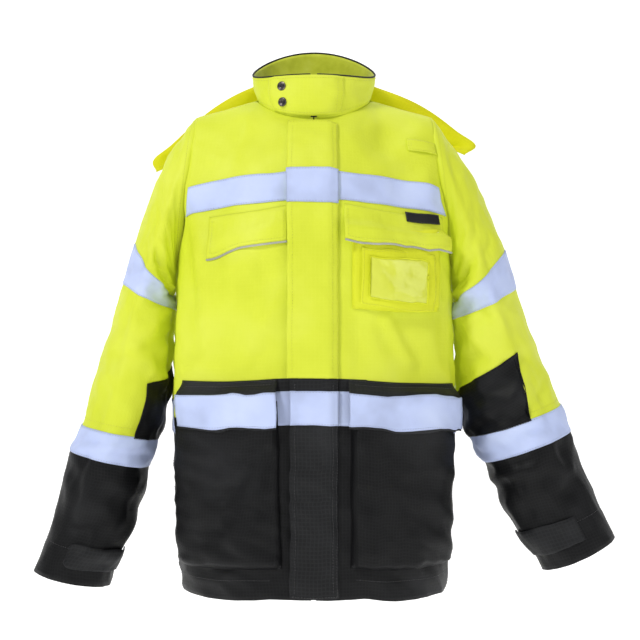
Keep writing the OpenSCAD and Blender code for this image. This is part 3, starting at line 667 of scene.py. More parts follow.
YELLOW = (0.72, 0.80, 0.045)
# the yellow, hood and pocket cloths carry a painted glow: a faint emission that lifts their shaded parts
MATERIALS = {
    "yellow": fabric("hi_vis_cloth", YELLOW, (0.66, 0.74, 0.030), (0.78, 0.85, 0.09), painted_glow=0.06, rip_show=0.12,
                     rough=0.55, sheen=0.10, spec=0.35),
    "hood": fabric("hood_cloth", (0.74, 0.72, 0.006), (0.62, 0.58, 0.003), (0.84, 0.84, 0.03), painted_glow=0.06,
                   rip_show=0.12, sheen=0.08, spec=0.2),
    "pocket": fabric("pocket_cloth", (0.73, 0.78, 0.025), (0.66, 0.70, 0.012), (0.80, 0.85, 0.06), painted_glow=0.07,
                     rip_show=0.12, sheen=0.1, spec=0.3),
    "black": fabric("black_cloth", (0.0036, 0.0038, 0.0043), (0.002, 0.0021, 0.0024), (0.016, 0.0165, 0.0185),
                    rip_show=0.35, rough=0.5, sheen=0.015, spec=0.2, rip=0.005),
    "strip": fabric("black_strip_cloth", (0.009, 0.0095, 0.0105), (0.005, 0.0052, 0.0058), (0.03, 0.031, 0.034),
                    rip_show=0.3, rough=0.6, sheen=0.04, spec=0.25),
    "tape": bead_tape("bead_tape", (0.58, 0.67, 0.98), (0.64, 0.73, 1.0)),
    "piping": bead_tape("bead_piping", (0.45, 0.46, 0.42), (0.62, 0.63, 0.6)),
    "lining": fabric("lining_cloth", (0.03, 0.032, 0.035), (0.018, 0.019, 0.021), (0.06, 0.062, 0.066),
                     pitch=0.0007, rip=0.02, rip_show=0.05, rough=0.45, sheen=0.3),
    "fleece": fleece("collar_fleece", (0.62, 0.68, 0.045), (0.48, 0.54, 0.02), (0.70, 0.77, 0.10)),
    "web": fabric("webbing", (0.02, 0.021, 0.023), (0.01, 0.01, 0.011), (0.06, 0.06, 0.065), pitch=0.0016,
                  rip=0.0032, rip_show=0.3),
    "hook": fleece("hook_and_loop", (0.02, 0.02, 0.022), (0.008, 0.008, 0.009), (0.05, 0.05, 0.055)),
    "snap": metal("snap_metal", (0.075, 0.07, 0.075), (0.3, 0.26, 0.22)),
    "zip": plastic("zip_plastic", (0.03, 0.03, 0.033), (0.07, 0.07, 0.075)),
    "film": film("window_film", (0.80, 0.86, 0.10), (0.72, 0.78, 0.05)),
    "patch": fabric("patch_cloth", (0.008, 0.008, 0.009), (0.005, 0.005, 0.006), (0.03, 0.03, 0.032), pitch=0.0006,
                    rip=0.0018, rip_show=0.15),
    "thread": thread("yellow_thread", (0.72, 0.76, 0.03), (0.52, 0.54, 0.004)),
    "tape_thread": thread("tape_thread", (0.50, 0.56, 0.74), (0.30, 0.34, 0.46)),
    "dark_thread": thread("dark_thread", (0.05, 0.05, 0.055), (0.02, 0.02, 0.022)),
}


def dress(obj, look, body, nodes=()):
    """Give a piece its material and body, and hide the CAD nodes that it stands for."""
    obj.data.materials.clear()
    obj.data.materials.append(MATERIALS[look])
    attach(obj, body)
    if nodes:
        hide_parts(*nodes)
    return obj

# ---- helpers for pieces --------------------------------------------------------------------------
def wobble(a, b, length, seed, turns=6):
    """Smooth noise of about -1 to 1 over two coordinates, with features of the given length."""
    rng = np.random.default_rng(seed)
    total = 0
    for _ in range(turns):
        t, k, phase = rng.uniform(0, math.pi), rng.uniform(0.6, 1.5) * 2 * math.pi / length, rng.uniform(0, 6.28)
        total = total + np.sin(k * (np.cos(t) * a + np.sin(t) * b) + phase)
    return total / math.sqrt(turns) / 1.2


def crumple(a, b, seed, length):
    """Sharp-ridged creases of about -1 to 1, as stiff coated cloth makes them."""
    fine = wobble(a + 0.3 * b, b - 0.2 * a, 0.55 * length, seed + 1)
    return 1.1 * (0.42 - np.abs(wobble(a, b, length, seed))) + 0.6 * (0.42 - np.abs(fine))


def ease(t):
    t = np.clip(t, 0, 1)
    return t * t * (3 - 2 * t)


def span(a, b, pitch):
    return np.linspace(a, b, max(2, int(abs(b - a) / pitch) + 1))


def edge_distance(p, wrap=False):
    u, v = lengths(p, 1), lengths(p, 0)
    near = np.minimum(v, v[-1:] - v)
    return near if wrap else np.minimum(near, np.minimum(u, u[:, -1:] - u))


def seam_dip(p, depth=0.5, width=2.0, wrap=False):
    """Cloth drawn in along its seams."""
    return -depth * np.exp(-(edge_distance(p, wrap) / width) ** 2)


def pucker(along, across, seed, height=0.45, length=13.0, width=7.0):
    """Small creases across a row of stitching, fading away from it."""
    wave = np.sin(2 * math.pi * along / length + 2.2 * wobble(along, along * 0, 4 * length, seed))
    return height * wave * np.exp(-(across / width) ** 2)


def corners_xz(corners, u, v):
    """A point between four corners [x, z]: low left, low right, top right, top left."""
    c = np.array(corners, float)
    u, v = u[..., None], v[..., None]
    return mix(mix(c[0], c[1], u), mix(c[3], c[2], u), v)


class Patch:
    """A four-cornered piece on the front of the coat, as a fine grid."""

    def __init__(self, corners, pitch=4.0):
        c = np.array(corners, float)
        cols = max(3, int(np.hypot(*(c[1] - c[0])) / pitch) + 1)
        rows = max(3, int(np.hypot(*(c[3] - c[0])) / pitch) + 1)
        self.u, self.v = np.meshgrid(np.linspace(0, 1, cols), np.linspace(0, 1, rows))
        xz = corners_xz(corners, self.u, self.v)
        self.x, self.z = xz[..., 0], xz[..., 1]
        self.th = angle(self.x, self.z)
        self.level = level(self.th, self.z)
        flat = stack(self.x, 0, self.z)
        self.a, self.b = lengths(flat, 1), lengths(flat, 0)
        self.left, self.right = self.a, self.a[:, -1:] - self.a
        self.low, self.top = self.b, self.b[-1:] - self.b
        self.near = np.minimum(np.minimum(self.left, self.right), np.minimum(self.low, self.top))

    def grid(self, off):
        return coat_grid(self.th, self.level, off)

    def line(self, points, off):
        """Points [x, z] on this piece as places in space, just above its surface."""
        pts = np.array(points, float)
        flat = []
        for a, b in zip(pts[:-1], pts[1:]):
            n = max(2, int(np.hypot(*(b - a)) / 4))
            flat.append(a + (b - a) * np.linspace(0, 1, n, endpoint=False)[:, None])
        flat = np.concatenate(flat + [pts[-1:]])
        return self.sample(flat, off)

    def sample(self, flat, off):
        grid = self.grid(off)
        out = []
        for x, z in flat:
            k = np.argmin((self.x - x) ** 2 + (self.z - z) ** 2)
            out.append(grid.reshape(-1, 3)[k])
        return np.array(out)


def inset(patch, grid, gap, sides="lrtb"):
    """Lines on a grid at a gap (mm) inside its edges, one for each side asked for."""
    rows, cols = patch.u.shape
    du = gap / max(1.0, patch.a[0, -1])
    dv = gap / max(1.0, patch.b[-1, 0])

    def at(u, v):
        i, j = v * (rows - 1), u * (cols - 1)
        i0, j0 = np.clip(i.astype(int), 0, rows - 2), np.clip(j.astype(int), 0, cols - 2)
        fi, fj = (i - i0)[:, None], (j - j0)[:, None]
        return ((grid[i0, j0] * (1 - fj) + grid[i0, j0 + 1] * fj) * (1 - fi)
                + (grid[i0 + 1, j0] * (1 - fj) + grid[i0 + 1, j0 + 1] * fj) * fi)

    t = np.linspace(0, 1, 80)
    t_u, t_v = du + (1 - 2 * du) * t, dv + (1 - 2 * dv) * t
    lines = {"l": (0 * t + du, t_v), "r": (0 * t + 1 - du, t_v), "b": (t_u, 0 * t + dv), "t": (t_u, 0 * t + 1 - dv)}
    return [at(*lines[s]) for s in sides]


def bevelled_box(name, centre, size, bevel=0.4):
    mesh = bpy.data.meshes.new(name)
    half = np.array(size) / 2
    import bmesh
    bm = bmesh.new()
    bmesh.ops.create_cube(bm, size=1)
    for v in bm.verts:
        v.co = [v.co[k] * size[k] for k in range(3)]
    bmesh.ops.bevel(bm, geom=bm.edges[:], offset=min(bevel, 0.4 * min(half)), segments=2, affect="EDGES")
    verts = [np.array(v.co) + centre for v in bm.verts]
    faces = [[v.index for v in f.verts] for f in bm.faces]
    bm.free()
    bpy.data.meshes.remove(mesh)
    return mesh_object(name, verts, faces)


# ---- sleeves -------------------------------------------------------------------------------------
# Each station: outer edge x, z, inner edge x, z, middle y, half depth
ARMHOLE = (SHOULDER_X + 1, SHOULDER_Z, CHEST_W + 1, UNDER_Z, 0, ARMHOLE_D)
STATIONS = {
    "left": [ARMHOLE, (234, -86, 222, -278, 6, 75), (270, -140, 224, -298, 9, 83), (300, -215, 225, -320, 10, 86),
             (325, -290, 226, -345, 10, 84), (346, -352, 229, -398, 10, 78), (372, -420, 231, -466, 8, 74),
             (397, -482, 252, -531, 2, 72), (413, -525, 275, -576, -4, 70), (440, -605, 309, -650, -14, 66),
             (475, -690, 362, -744, -28, 60)],
    "right": [ARMHOLE, (232, -80, 222, -278, 4, 72), (257, -135, 225, -292, 6, 80), (283, -205, 228, -308, 6, 84),
              (306, -280, 229, -330, 6, 84), (328, -352, 230, -376, 6, 80), (352, -430, 232, -448, 4, 76),
              (374, -512, 250, -535, -2, 72), (390, -556, 268, -584, -8, 69), (414, -650, 292, -680, -18, 65),
              (442, -742, 322, -768, -30, 60)],
}
DARK_STATION = 7.5
END_STATION = 10.0


def station_table(rows):
    """Stations sampled finely along a smooth curve through them."""
    rows = np.array(rows, float)
    slope = np.gradient(rows, axis=0)
    st = np.linspace(0, len(rows) - 1, 401)
    i = np.minimum(st.astype(int), len(rows) - 2)
    f = (st - i)[:, None]
    a, b, da, db = rows[i], rows[i + 1], slope[i], slope[i + 1]
    value = ((1 + 2 * f) * (1 - f) ** 2 * a + f * (1 - f) ** 2 * da
             + f * f * (3 - 2 * f) * b + f * f * (f - 1) * db)
    return st, value


SLEEVE_TABLE = {side: station_table(rows) for side, rows in STATIONS.items()}
# Folds on the front of each sleeve: station, phi (90 is the front), station, phi, width, height
SLEEVE_FOLDS = {
    "left": [(2.6, 165, 4.4, 70, 9, 5), (3.0, 170, 5.0, 85, 8, -4), (3.4, 172, 5.6, 100, 9, 4.5),
             (2.2, 160, 2.9, 60, 9, -4), (1.2, 120, 3.0, 40, 12, 3.5), (5.2, 165, 5.7, 60, 9, -4),
             (5.9, 60, 6.8, 110, 9, 4), (6.3, 30, 7.0, 100, 8, -3), (8.2, 150, 8.6, 50, 8, 3.5),
             (8.7, 160, 9.0, 60, 7, -3), (7.6, 100, 8.2, 20, 8, 3)],
    "right": [(2.6, 165, 4.0, 80, 9, 4.5), (3.2, 170, 4.6, 95, 8, -4), (3.8, 172, 5.4, 100, 9, 4),
              (1.0, 110, 2.6, 40, 12, 3.5), (1.6, 150, 3.2, 90, 9, -4), (5.0, 160, 5.7, 70, 9, -3.5),
              (6.0, 60, 6.8, 120, 9, 4), (6.2, 20, 7.0, 80, 8, -3), (8.1, 150, 8.6, 50, 8, 3.5),
              (8.6, 160, 9.1, 70, 7, -3), (7.5, 100, 8.1, 20, 8, 3)],
}
SLEEVE_PHI = np.linspace(0, 360, 73)[:-1]
SLEEVE_ST = np.linspace(0, 10, 101)
SLEEVE_SHIFT = {side: np.zeros((101, 72)) for side in STATIONS}


def sleeve_sim(side, st, phi):
    """The sleeve simulation's displacement along the normal."""
    i = np.clip((st * 10).astype(int), 0, 99)
    j = (phi % 360) / 5
    j0 = j.astype(int) % 72
    fi, fj = st * 10 - i, j - j.astype(int)
    d = SLEEVE_SHIFT[side]
    j1 = (j0 + 1) % 72
    return (d[i, j0] * (1 - fj) + d[i, j1] * fj) * (1 - fi) + (d[i + 1, j0] * (1 - fj) + d[i + 1, j1] * fj) * fi


def sleeve_base(side, st, phi, off=0.0):
    st, phi = np.broadcast_arrays(np.asarray(st, float), np.asarray(phi, float))
    table_st, table = SLEEVE_TABLE[side]
    xo, zo, xi, zi, y, w = [np.interp(st, table_st, table[:, k]) for k in range(6)]
    c, s = np.cos(np.radians(phi)), np.sin(np.radians(phi))
    hx, hz = (xo - xi) / 2, (zo - zi) / 2
    h = np.hypot(hx, hz)
    k, m = 1 + off / h, 1 + off / w
    sign = 1 if side == "left" else -1
    return stack(sign * ((xo + xi) / 2 + hx * k * c), y - w * m * s, (zo + zi) / 2 + hz * k * c)


def bump(d, width):
    return np.exp(-0.5 * (d / width) ** 2)


def sleeve_relief(side, st, phi):
    """Folds of a sleeve: a full cap, gathers at the inner elbow, rings of creases down the forearm."""
    seed = 11 if side == "left" else 23
    turn = np.radians(phi)
    inner = 0.5 - 0.5 * np.cos(turn)
    around = phi / 360 * 480.0
    along = st * 72.0
    total = 1.6 * wobble(along, np.sin(turn) * 90, 150, seed) * np.clip(st / 1.5, 0, 1)
    elbow = bump(st - 6.2, 1.0)
    zigzag = np.sin(2 * math.pi * (along + 26 * np.sin(turn * 1.0 + 0.7)) / 58 + 1.2 * wobble(along, around, 170, seed + 1))
    total = total + elbow * (1.2 + 3.0 * inner) * zigzag * 0.8
    fore = ease((st - 7.4) / 0.8) * (1 - ease((st - 9.0) / 0.5))
    rings = np.sin(2 * math.pi * (along + 20 * np.sin(turn + 1.9)) / 44 + 1.5 * wobble(along, around, 120, seed + 2))
    total = total + fore * (0.8 + 1.4 * inner) * rings
    pit = bump(st - 2.8, 1.1) * np.clip(np.sin(turn), 0, 1) * inner ** 0.7
    fan = np.sin(2 * math.pi * (along * 0.72 - around * 0.55) / 62 + 0.8 * wobble(along, around, 200, seed + 3))
    total = total + pit * 3.4 * fan
    cap = bump(st - 1.3, 0.8)
    total = total + cap * 1.4 * np.sin(4 * turn + 0.6) * np.clip(np.cos(turn) + 0.6, 0, 1)
    for a_st, a_phi, b_st, b_phi, width, height in SLEEVE_FOLDS[side]:
        ax, az, bx, bz = a_phi * 1.33, a_st * 72, b_phi * 1.33, b_st * 72
        p = stack(around, 0, along)
        total = total + crease(p, (ax, az), (bx, bz), width, height)
    total = total + (1.5 + 1.2 * inner * ease((st - 1.5) / 1.5)) * crumple(around, along, seed + 40, 84)
    return total * ease(st / 0.7) * (1 - 0.6 * ease((st - 9.3) / 0.5))


def sleeve_grid(side, st, phi, off=0.0, wrap=False, share=1.0):
    """A grid on a draped sleeve; rows go down the sleeve and columns round it, outwards for both sides."""
    st, phi = np.broadcast_arrays(np.asarray(st, float), np.asarray(phi, float))
    if side == "right":
        phi = phi[:, ::-1]
        off = np.asarray(off * np.ones(st.shape))[:, ::-1]
    p = sleeve_base(side, st, phi)
    lift = (sleeve_relief(side, st, phi) + sleeve_sim(side, st, phi)) * share
    q = p + normals(p, wrap) * lift[..., None]
    return q + normals(q, wrap) * np.asarray(off * np.ones(st.shape))[..., None]


def tube_phis(pitch=5.0):
    return np.arange(0, 360, pitch)[None, :]


def sleeve_tube(name, side, st_from, st_to, off, thick, extra=None, pitch=0.075, share=1.0):
    st = span(st_from, st_to, pitch)[:, None]
    phi = tube_phis(4.0)
    outer = sleeve_grid(side, st, phi, off, True, share)
    dip = seam_dip(outer, 0.45, 2.0, True)
    if extra is not None:
        dip = dip + extra(st + 0 * phi)
    outer = outer + normals(outer, True) * dip[..., None]
    if st_from <= 0:
        tuck = outer[:1] + (outer[:1].mean(axis=1, keepdims=True) - outer[:1]) * 0.03
        tuck[..., 0] *= 0.965
        outer = np.concatenate([tuck, outer])
    return sheet(name, outer, thick, True)


def sleeve_line(side, st, phi, off):
    """A line on a sleeve, from lists of stations and angles."""
    st, phi = np.broadcast_arrays(np.asarray(st, float), np.asarray(phi, float))
    step = 0.02
    rows = [sleeve_base(side, np.clip(st + d, 0, 10), phi) for d in (-step, 0, step)]
    cols = [sleeve_base(side, st, phi + d) for d in (-1.0, 1.0)]
    n = np.cross(cols[1] - cols[0], rows[2] - rows[0])
    n /= np.linalg.norm(n, axis=-1, keepdims=True)
    if side == "right":
        n = -n
    lift = sleeve_relief(side, st, phi) + sleeve_sim(side, st, phi) + off
    return rows[1] + n * lift[..., None]


# ---- collar and hood -----------------------------------------------------------------------------
COLLAR_LIFT = 1.0
COLLAR_START, COLLAR_END = 3.0, 357.0
TAB_ANGLES = (-42.0, 28.0)
TAB_OUT = 7.0
SNAP_ANGLE = -28.0
SNAP_LEVELS = (0.28, 0.7)
SNAP_D = 14.5


# th, v of both ends, half width and height of each collar fold
COLLAR_FOLDS = [
    (18, 0.62, 48, 0.3, 5, 2.2), (26, 0.85, 60, 0.6, 6, -1.6), (-60, 0.8, -34, 0.35, 5, 1.8),
    (-20, 0.2, 12, 0.12, 5, 1.4), (40, 0.15, 70, 0.1, 5, 1.6), (5, 0.75, 24, 0.5, 4, 1.2),
    (320, 0.75, 300, 0.4, 6, 2.0), (140, 0.6, 180, 0.5, 8, 1.5),
]


def collar_grid(th, v, off=0.0):
    """The stand-up collar; th from the front centre, v from the seam to the top edge."""
    th, v = np.broadcast_arrays(np.asarray(th, float), np.asarray(v, float))
    low = collar_base(th) + np.array([0, 0, COLLAR_LIFT])
    d = stack(np.sin(np.radians(th)), -np.cos(np.radians(th)), 0)
    soft = 1.5 * wobble(th * 1.6, v * 60, 70, 5) * np.sin(math.pi * np.clip(v, 0, 1)) ** 0.7
    for a_th, a_v, b_th, b_v, width, height in COLLAR_FOLDS:
        soft = soft + crease(stack(th * 1.6, 0, v * 58), (a_th * 1.6, a_v * 58), (b_th * 1.6, b_v * 58), width, height)
    roll = 1.6 * np.sin(math.pi * np.clip(v, 0, 1))
    p = low + (collar_top(th) - low) * v[..., None]
    return p + d * (np.asarray(off) + soft + roll)[..., None]


HOOD_FRONT_Y = 98.0
HOOD_SEAM_Z = 42.0
HOOD_TIP = (268.0, HOOD_FRONT_Y + 18, -70.0)


BACK_CLEAR = 14.0
RIM_BULGE = 12.0


def hood_face(u, w):
    """The hood as it hangs: a pouch behind the collar; u across, w from the seam to the rim."""
    u, w = np.broadcast_arrays(np.asarray(u, float), np.asarray(w, float))
    a = np.abs(u)
    neck = stack(96 * u, HOOD_FRONT_Y + 2, HOOD_SEAM_Z - 18 * (1 - a))
    bend = stack(175 * u, 178 - 56 * a * a, -225 + 110 * a * a)
    rim = stack(230 * u, 230 - 84 * a * a, -30 - 20 * a * a)
    e = np.clip(np.sin(math.pi * w), 0, 1)
    fall_y = (neck[..., 1] + (bend[..., 1] - RIM_BULGE - neck[..., 1]) * e ** 0.75
              + BACK_CLEAR * np.sin(2 * math.pi * w) * (1 - 2 * w) + RIM_BULGE * (2 * w) ** 4)
    fall = stack(mix(neck[..., 0], bend[..., 0], e), fall_y, mix(neck[..., 2], bend[..., 2], e))
    rise = mix(bend, rim, (1 - np.cos(math.pi * (w - 0.5)))[..., None])
    rise = rise + stack(0, RIM_BULGE * np.sin(2 * math.pi * (w - 0.5)), 0)
    pouch = np.where((w < 0.5)[..., None], fall, rise)
    tip = stack(u * HOOD_TIP[0], HOOD_TIP[1], HOOD_TIP[2])
    edge = mix(neck, tip, w[..., None]) + stack(0, 0, 16 * e)
    return mix(pouch, edge, (a ** 4)[..., None])


def hood_grid(u, w, off=0.0):
    """A grid on the hood with its folds; u runs from the wearer's left, 1, to the right, -1."""
    u, w = np.broadcast_arrays(np.asarray(u, float), np.asarray(w, float))
    a = np.abs(u)
    p = hood_face(u, w)
    folds = 3.0 * np.sin(9 * u + 2.4 * w) * np.sin(math.pi * w) ** 2 * (1 - a ** 3)
    folds = folds + 2.6 * wobble(u * 240, w * 300, 110, 31) * np.sin(math.pi * w) * (1 - a ** 4)
    droop = np.where(u < 0, 12.0, -12.0) * ease((a - 0.5) / 0.5) * ease(w)
    tip = a ** 6
    out = 18.0 * np.exp(-(((w - 0.92) / 0.06) ** 2)) - np.where(u < 0, 4.0, 17.0) * ease((w - 0.93) / 0.07)
    down = np.where(u < 0, 20.0, 15.0) * ease((w - 0.8) / 0.2)
    p = p + stack(np.sign(u) * out * tip, 0, -droop - down * tip)
    roll = 4.0 * np.exp(-(((a - 0.95) / 0.035) ** 2)) - 3.5 * np.exp(-(((a - 0.86) / 0.03) ** 2))
    folds = folds + (roll + 2.2 * crumple(u * 250, w * 320, 33, 90) * (1 - tip)) * np.sin(math.pi * w) ** 0.6
    return p + normals(p) * (folds + off)[..., None]


# ---- cloth pieces of the body --------------------------------------------------------------------
V_DARK = DARK_Z - UNDER_Z
V_HEM = HEM_Z - UNDER_Z
FRONT_EDGE = 0.35
SIDE_LAP = 0.8


def body_levels(z_low, z_high_fraction):
    low = span(z_low - UNDER_Z, 0, 5.5)
    if z_high_fraction <= 0:
        return low[low <= z_high_fraction]
    return np.concatenate([low, span(0, z_high_fraction, 0.021)[1:]])


def panel(name, th_from, th_to, levels, thick=1.5, off=0.0):
    """A shell panel between two seams, drawn in a little along its edges."""
    th = span(th_from, th_to, 1.25)[None, :]
    grid = coat_grid(th, np.asarray(levels)[:, None], off)
    grid = grid + normals(grid) * seam_dip(grid)[..., None]
    return sheet(name, grid, thick)


def body_shell():
    upper = body_levels(DARK_Z, 1.0)
    lower = span(V_HEM, V_DARK - 0.6, 5.5)
    made = {}
    for side, sign in (("right", -1), ("left", 1)):
        a, b = sorted((sign * FRONT_EDGE, sign * 90))
        made["front_upper_" + side] = panel("front_upper_" + side, a, b, upper)
        made["front_lower_" + side] = panel("front_lower_" + side, a, b, lower)
    th = span(90, 270, 1.25)[None, :]
    for name, levels in (("back_upper", upper), ("back_lower", lower)):
        v = levels[:, None]
        lap = SIDE_LAP - (SIDE_LAP + FRONT_EDGE) * ease((v + 12) / 12)
        wide = 180 + (th - 180) * (90 + lap) / 90
        turned = np.where(wide > 180, wide - 360, wide)
        grid = base_pt(turned, v)
        n = normals(grid)
        grid = grid + n * drape(grid)[..., None] + simulated(turned, v)
        tuck = np.clip(lap / SIDE_LAP, 0, 1) * (1 - ease((90 + lap - np.abs(wide - 180)) / (2 * SIDE_LAP)))
        grid = grid + normals(grid) * (seam_dip(grid) - 1.7 * tuck)[..., None]
        made[name] = sheet(name, grid, 1.5)
    for name, obj in made.items():
        bright = "upper" in name
        dress(obj, "yellow" if bright else "black", "coat_body",
              (name,))
    return made


def back_band(name, th_from, th_to, z_low, z_high, off, pitch=5.0):
    """A tape round the back and the sides."""
    th = span(th_from, th_to, 1.25)[None, :]
    turned = np.where(th > 180, th - 360, th)
    z = span(z_low, z_high, pitch)[:, None]
    v = level(turned + 0 * z, z + 0 * turned)
    p = base_pt(turned + 0 * z, v)
    grid = p + normals(p) * drape(p)[..., None] + simulated(turned + 0 * z, v)
    grid = grid + normals(grid) * off
    return sheet(name, grid, 0.8), grid


def chest_tape(name, sign):
    inner = float(angle(24.0 if sign < 0 else 30.0, -150.0))
    th = span(inner, 84, 1.2)
    if sign < 0:
        th = -th[::-1]
    t = np.linspace(0, 1, 12)
    th2, t2 = np.meshgrid(th, t)
    top = CHEST_TAPE_TOP - 20 * (np.abs(th2) / 84) ** 2
    z = top - 0.88 * TAPE_W * (1 - t2)
    grid = coat_grid(th2, level(th2, z), 1.5)
    return sheet(name, grid, 1.0), grid


def lining():
    pieces = []
    levels = np.concatenate([span(HEM_Z + 25 - UNDER_Z, 0, 14), span(0, 0.98, 0.05)[1:]])
    for a, b in ((-89.5, -2), (2, 89.5), (90.5, 269.5)):
        th = span(a, b, 3)[None, :]
        turned = np.where(th > 180, th - 360, th)
        p = base_pt(turned, levels[:, None])
        grid = p + normals(p) * (drape(p) - 3.6)[..., None] + simulated(turned, levels[:, None])
        pieces.append(sheet("lining_part", grid, 1.2))
    return merge("body_lining", pieces)


# ---- stitching is gathered as lines and made at the end, one piece for each body and thread ------
SEAMS = {}


def sew(body, look, lines):
    SEAMS.setdefault((body, look), []).extend(lines)


def lifted_lines(lines, lift=0.35):
    """Lines moved off the cloth, away from the coat's inside."""
    out = []
    for line in lines:
        line = np.asarray(line, float)
        away = line.copy()
        away[:, 2] = 0
        away[:, 0] *= 0.35
        away /= np.maximum(np.linalg.norm(away, axis=1, keepdims=True), 1e-6)
        out.append(line + away * lift)
    return out


# ---- how pieces bend where a joint moves them ----------------------------------------------------
# body: (parent, point at the stitched edge, point where the piece moves fully)
HINGES = {
    "sleeve_left": ("coat_body", (187, 0, -284), (256, 0, -388)),
    "sleeve_right": ("coat_body", (-187, 0, -284), (-256, 0, -388)),
    "hood": ("coat_body", (0, 99, 43), (0, 122, 22)),
    "storm_flap": ("coat_body", (36, -160, -400), (20, -160, -400)),
    "collar_tab": ("coat_body", (45, -95, -10), (31, -103, -10)),
    "chest_flap_right": ("coat_body", (-104, -142, -198), (-104, -142, -212)),
    "chest_flap_left": ("coat_body", (132, -142, -199), (132, -142, -213)),
    "window_holder": ("coat_body", (130, -150, -243), (130, -150, -256)),
    "lower_flap_right": ("coat_body", (-135, -160, -437), (-135, -160, -455)),
    "lower_flap_left": ("coat_body", (153, -150, -437), (153, -150, -455)),
    "cuff_tab_left": ("sleeve_left", (412, -88, -671), (398, -88, -678)),
    "cuff_tab_right": ("sleeve_right", (-382, -90, -711), (-370, -90, -718)),
}


def dress_moving(obj, look, nodes=()):
    """Like dress but with no body: material, transform baked in and CAD nodes hidden; for a piece that bends away from
    what it is sewn to.
    """
    obj.data.materials.clear()
    obj.data.materials.append(MATERIALS[look])
    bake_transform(obj)
    if nodes:
        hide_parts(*nodes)
    return obj


# ---- collar --------------------------------------------------------------------------------------
def tube(name, path, radius, closed_ends=True, turns=10):
    """A round cord or rolled binding along a path."""
    path = np.asarray(path, float)
    t = np.gradient(path, axis=0)
    t /= np.linalg.norm(t, axis=1, keepdims=True)
    side = np.cross(t, [0.0, 0.0, 1.0])
    weak = np.linalg.norm(side, axis=1) < 0.2
    side[weak] = np.cross(t[weak], [0.0, 1.0, 0.0])
    side /= np.linalg.norm(side, axis=1, keepdims=True)
    up = np.cross(side, t)
    a = np.arange(turns) * 2 * math.pi / turns
    ring = path[:, None] + radius * (side[:, None] * np.cos(a)[None, :, None] + up[:, None] * np.sin(a)[None, :, None])
    verts = ring.reshape(-1, 3)
    faces = [tuple(f) for f in grid_faces(len(path), turns, True, flip=True)]
    faces += [tuple(range(turns)), tuple(len(verts) - 1 - k for k in range(turns))]
    along = np.repeat(lengths(path[None], 1)[0], turns)
    cloth = np.stack([along, np.tile(a * radius, len(path)), np.full(len(verts), 5.0)], -1)
    return mesh_object(name, verts, faces, None, cloth)


def collar():
    th = span(COLLAR_START, COLLAR_END, 2.5)[None, :]
    v = np.linspace(-0.05, 1, 19)[:, None]
    outer = collar_grid(th, v)
    outer = outer + normals(outer) * seam_dip(outer, 0.6, 2.0)[..., None]
    shell = dress(sheet("collar_shell", outer, 1.6), "yellow", "coat_body", ("collar_shell",))
    inner = collar_grid(th, np.linspace(0, 0.985, 15)[:, None], -1.9)
    lining_obj = dress(sheet("collar_lining", inner, 1.8), "fleece", "coat_body", ("collar_lining",))
    # A black tube along the whole top edge of the collar: in part the real binding, and along the front a painted
    # shadow line where the collar's top edge meets the lining behind it.
    edge = collar_grid(span(COLLAR_START, COLLAR_END, 2)[None, :], np.full((1, 1), 1.0), -1.5)[0]
    dress(tube("collar_binding_and_shadow_line", edge + [0, 0, 0.5], 1.5), "strip", "coat_body")
    flat = span(COLLAR_START + 2, COLLAR_END - 2, 2)[None, :]
    for level_v in (0.08, 0.9):
        sew("coat_body", "thread", [collar_grid(flat, np.full((1, 1), level_v), 0.35)[0]])
    return shell, lining_obj


def tab_off(th, v=0.5):
    """The tab lies on the collar at its sewn end and lifts over the snaps."""
    return 2.2 + (TAB_OUT - 2.2) * ease((TAB_ANGLES[1] - th) / 14) * (1 - 0.3 * np.exp(-((v / 0.16) ** 2)))


def collar_tab():
    th = span(*TAB_ANGLES, 1.3)[None, :]
    v = np.linspace(0.0, 0.98, 22)[:, None]
    th2, v2 = np.broadcast_arrays(th, v)
    corner = np.clip(1 - (th2 - TAB_ANGLES[0]) / 7, 0, 1) * np.clip(np.abs(v2 - 0.49) / 0.49 - 0.8, 0, 1) / 0.2
    rounded = 0.49 + (v2 - 0.49) * (1 - 0.06 * corner)
    grid = collar_grid(th2, rounded, tab_off(th2, rounded))
    grid = grid + normals(grid) * (seam_dip(grid, 0.5, 1.4))[..., None]
    dress_moving(sheet("collar_tab", grid, 2.0), "yellow", ("collar_tab",))
    thread = 0.4
    for level_v in (0.07, 0.91):
        t = span(TAB_ANGLES[0] + 2, TAB_ANGLES[1], 1.5)[None, :]
        sew("collar_tab", "thread", [collar_grid(t, np.full((1, 1), level_v), tab_off(t, level_v) + thread)[0]])
    for a in (TAB_ANGLES[0] + 2.5, TAB_ANGLES[1] - 2, TAB_ANGLES[1] - 7):
        v1 = np.linspace(0.07, 0.91, 20)[:, None]
        t = np.full((20, 1), a)
        sew("collar_tab", "thread", [collar_grid(t, v1, tab_off(t, v1) + thread)[:, 0]])


def snap_frame(v, off):
    p = collar_grid(np.full((1, 1), SNAP_ANGLE), np.full((1, 1), v), off)[0, 0]
    d = np.array([math.sin(math.radians(SNAP_ANGLE)), -math.cos(math.radians(SNAP_ANGLE)), 0])
    return p, d


def snaps():
    r = SNAP_D / 2
    caps, studs = [], []
    for v in SNAP_LEVELS:
        p, d = snap_frame(v, TAB_OUT + 0.1)
        caps.append(lathe("cap", [(r * 0.98, 0), (r, 0.5), (r * 0.97, 1.3), (r * 0.86, 1.9), (r * 0.7, 2.0),
                                  (r * 0.6, 1.5), (r * 0.52, 0.9), (r * 0.3, 0.95), (r * 0.12, 1.15)], p, d))
        p, d = snap_frame(v, 0.6)
        studs.append(lathe("stud", [(r * 0.85, 0), (r * 0.85, 1.0), (r * 0.7, 1.4), (r * 0.4, 1.5), (r * 0.4, 2.6),
                                    (r * 0.33, 2.9)], p, d))
    dress(merge("collar_snap_caps", caps), "snap", "collar_tab", ("collar_snap_caps",))
    dress(merge("collar_snap_studs", studs), "snap", "coat_body", ("collar_snap_studs",))


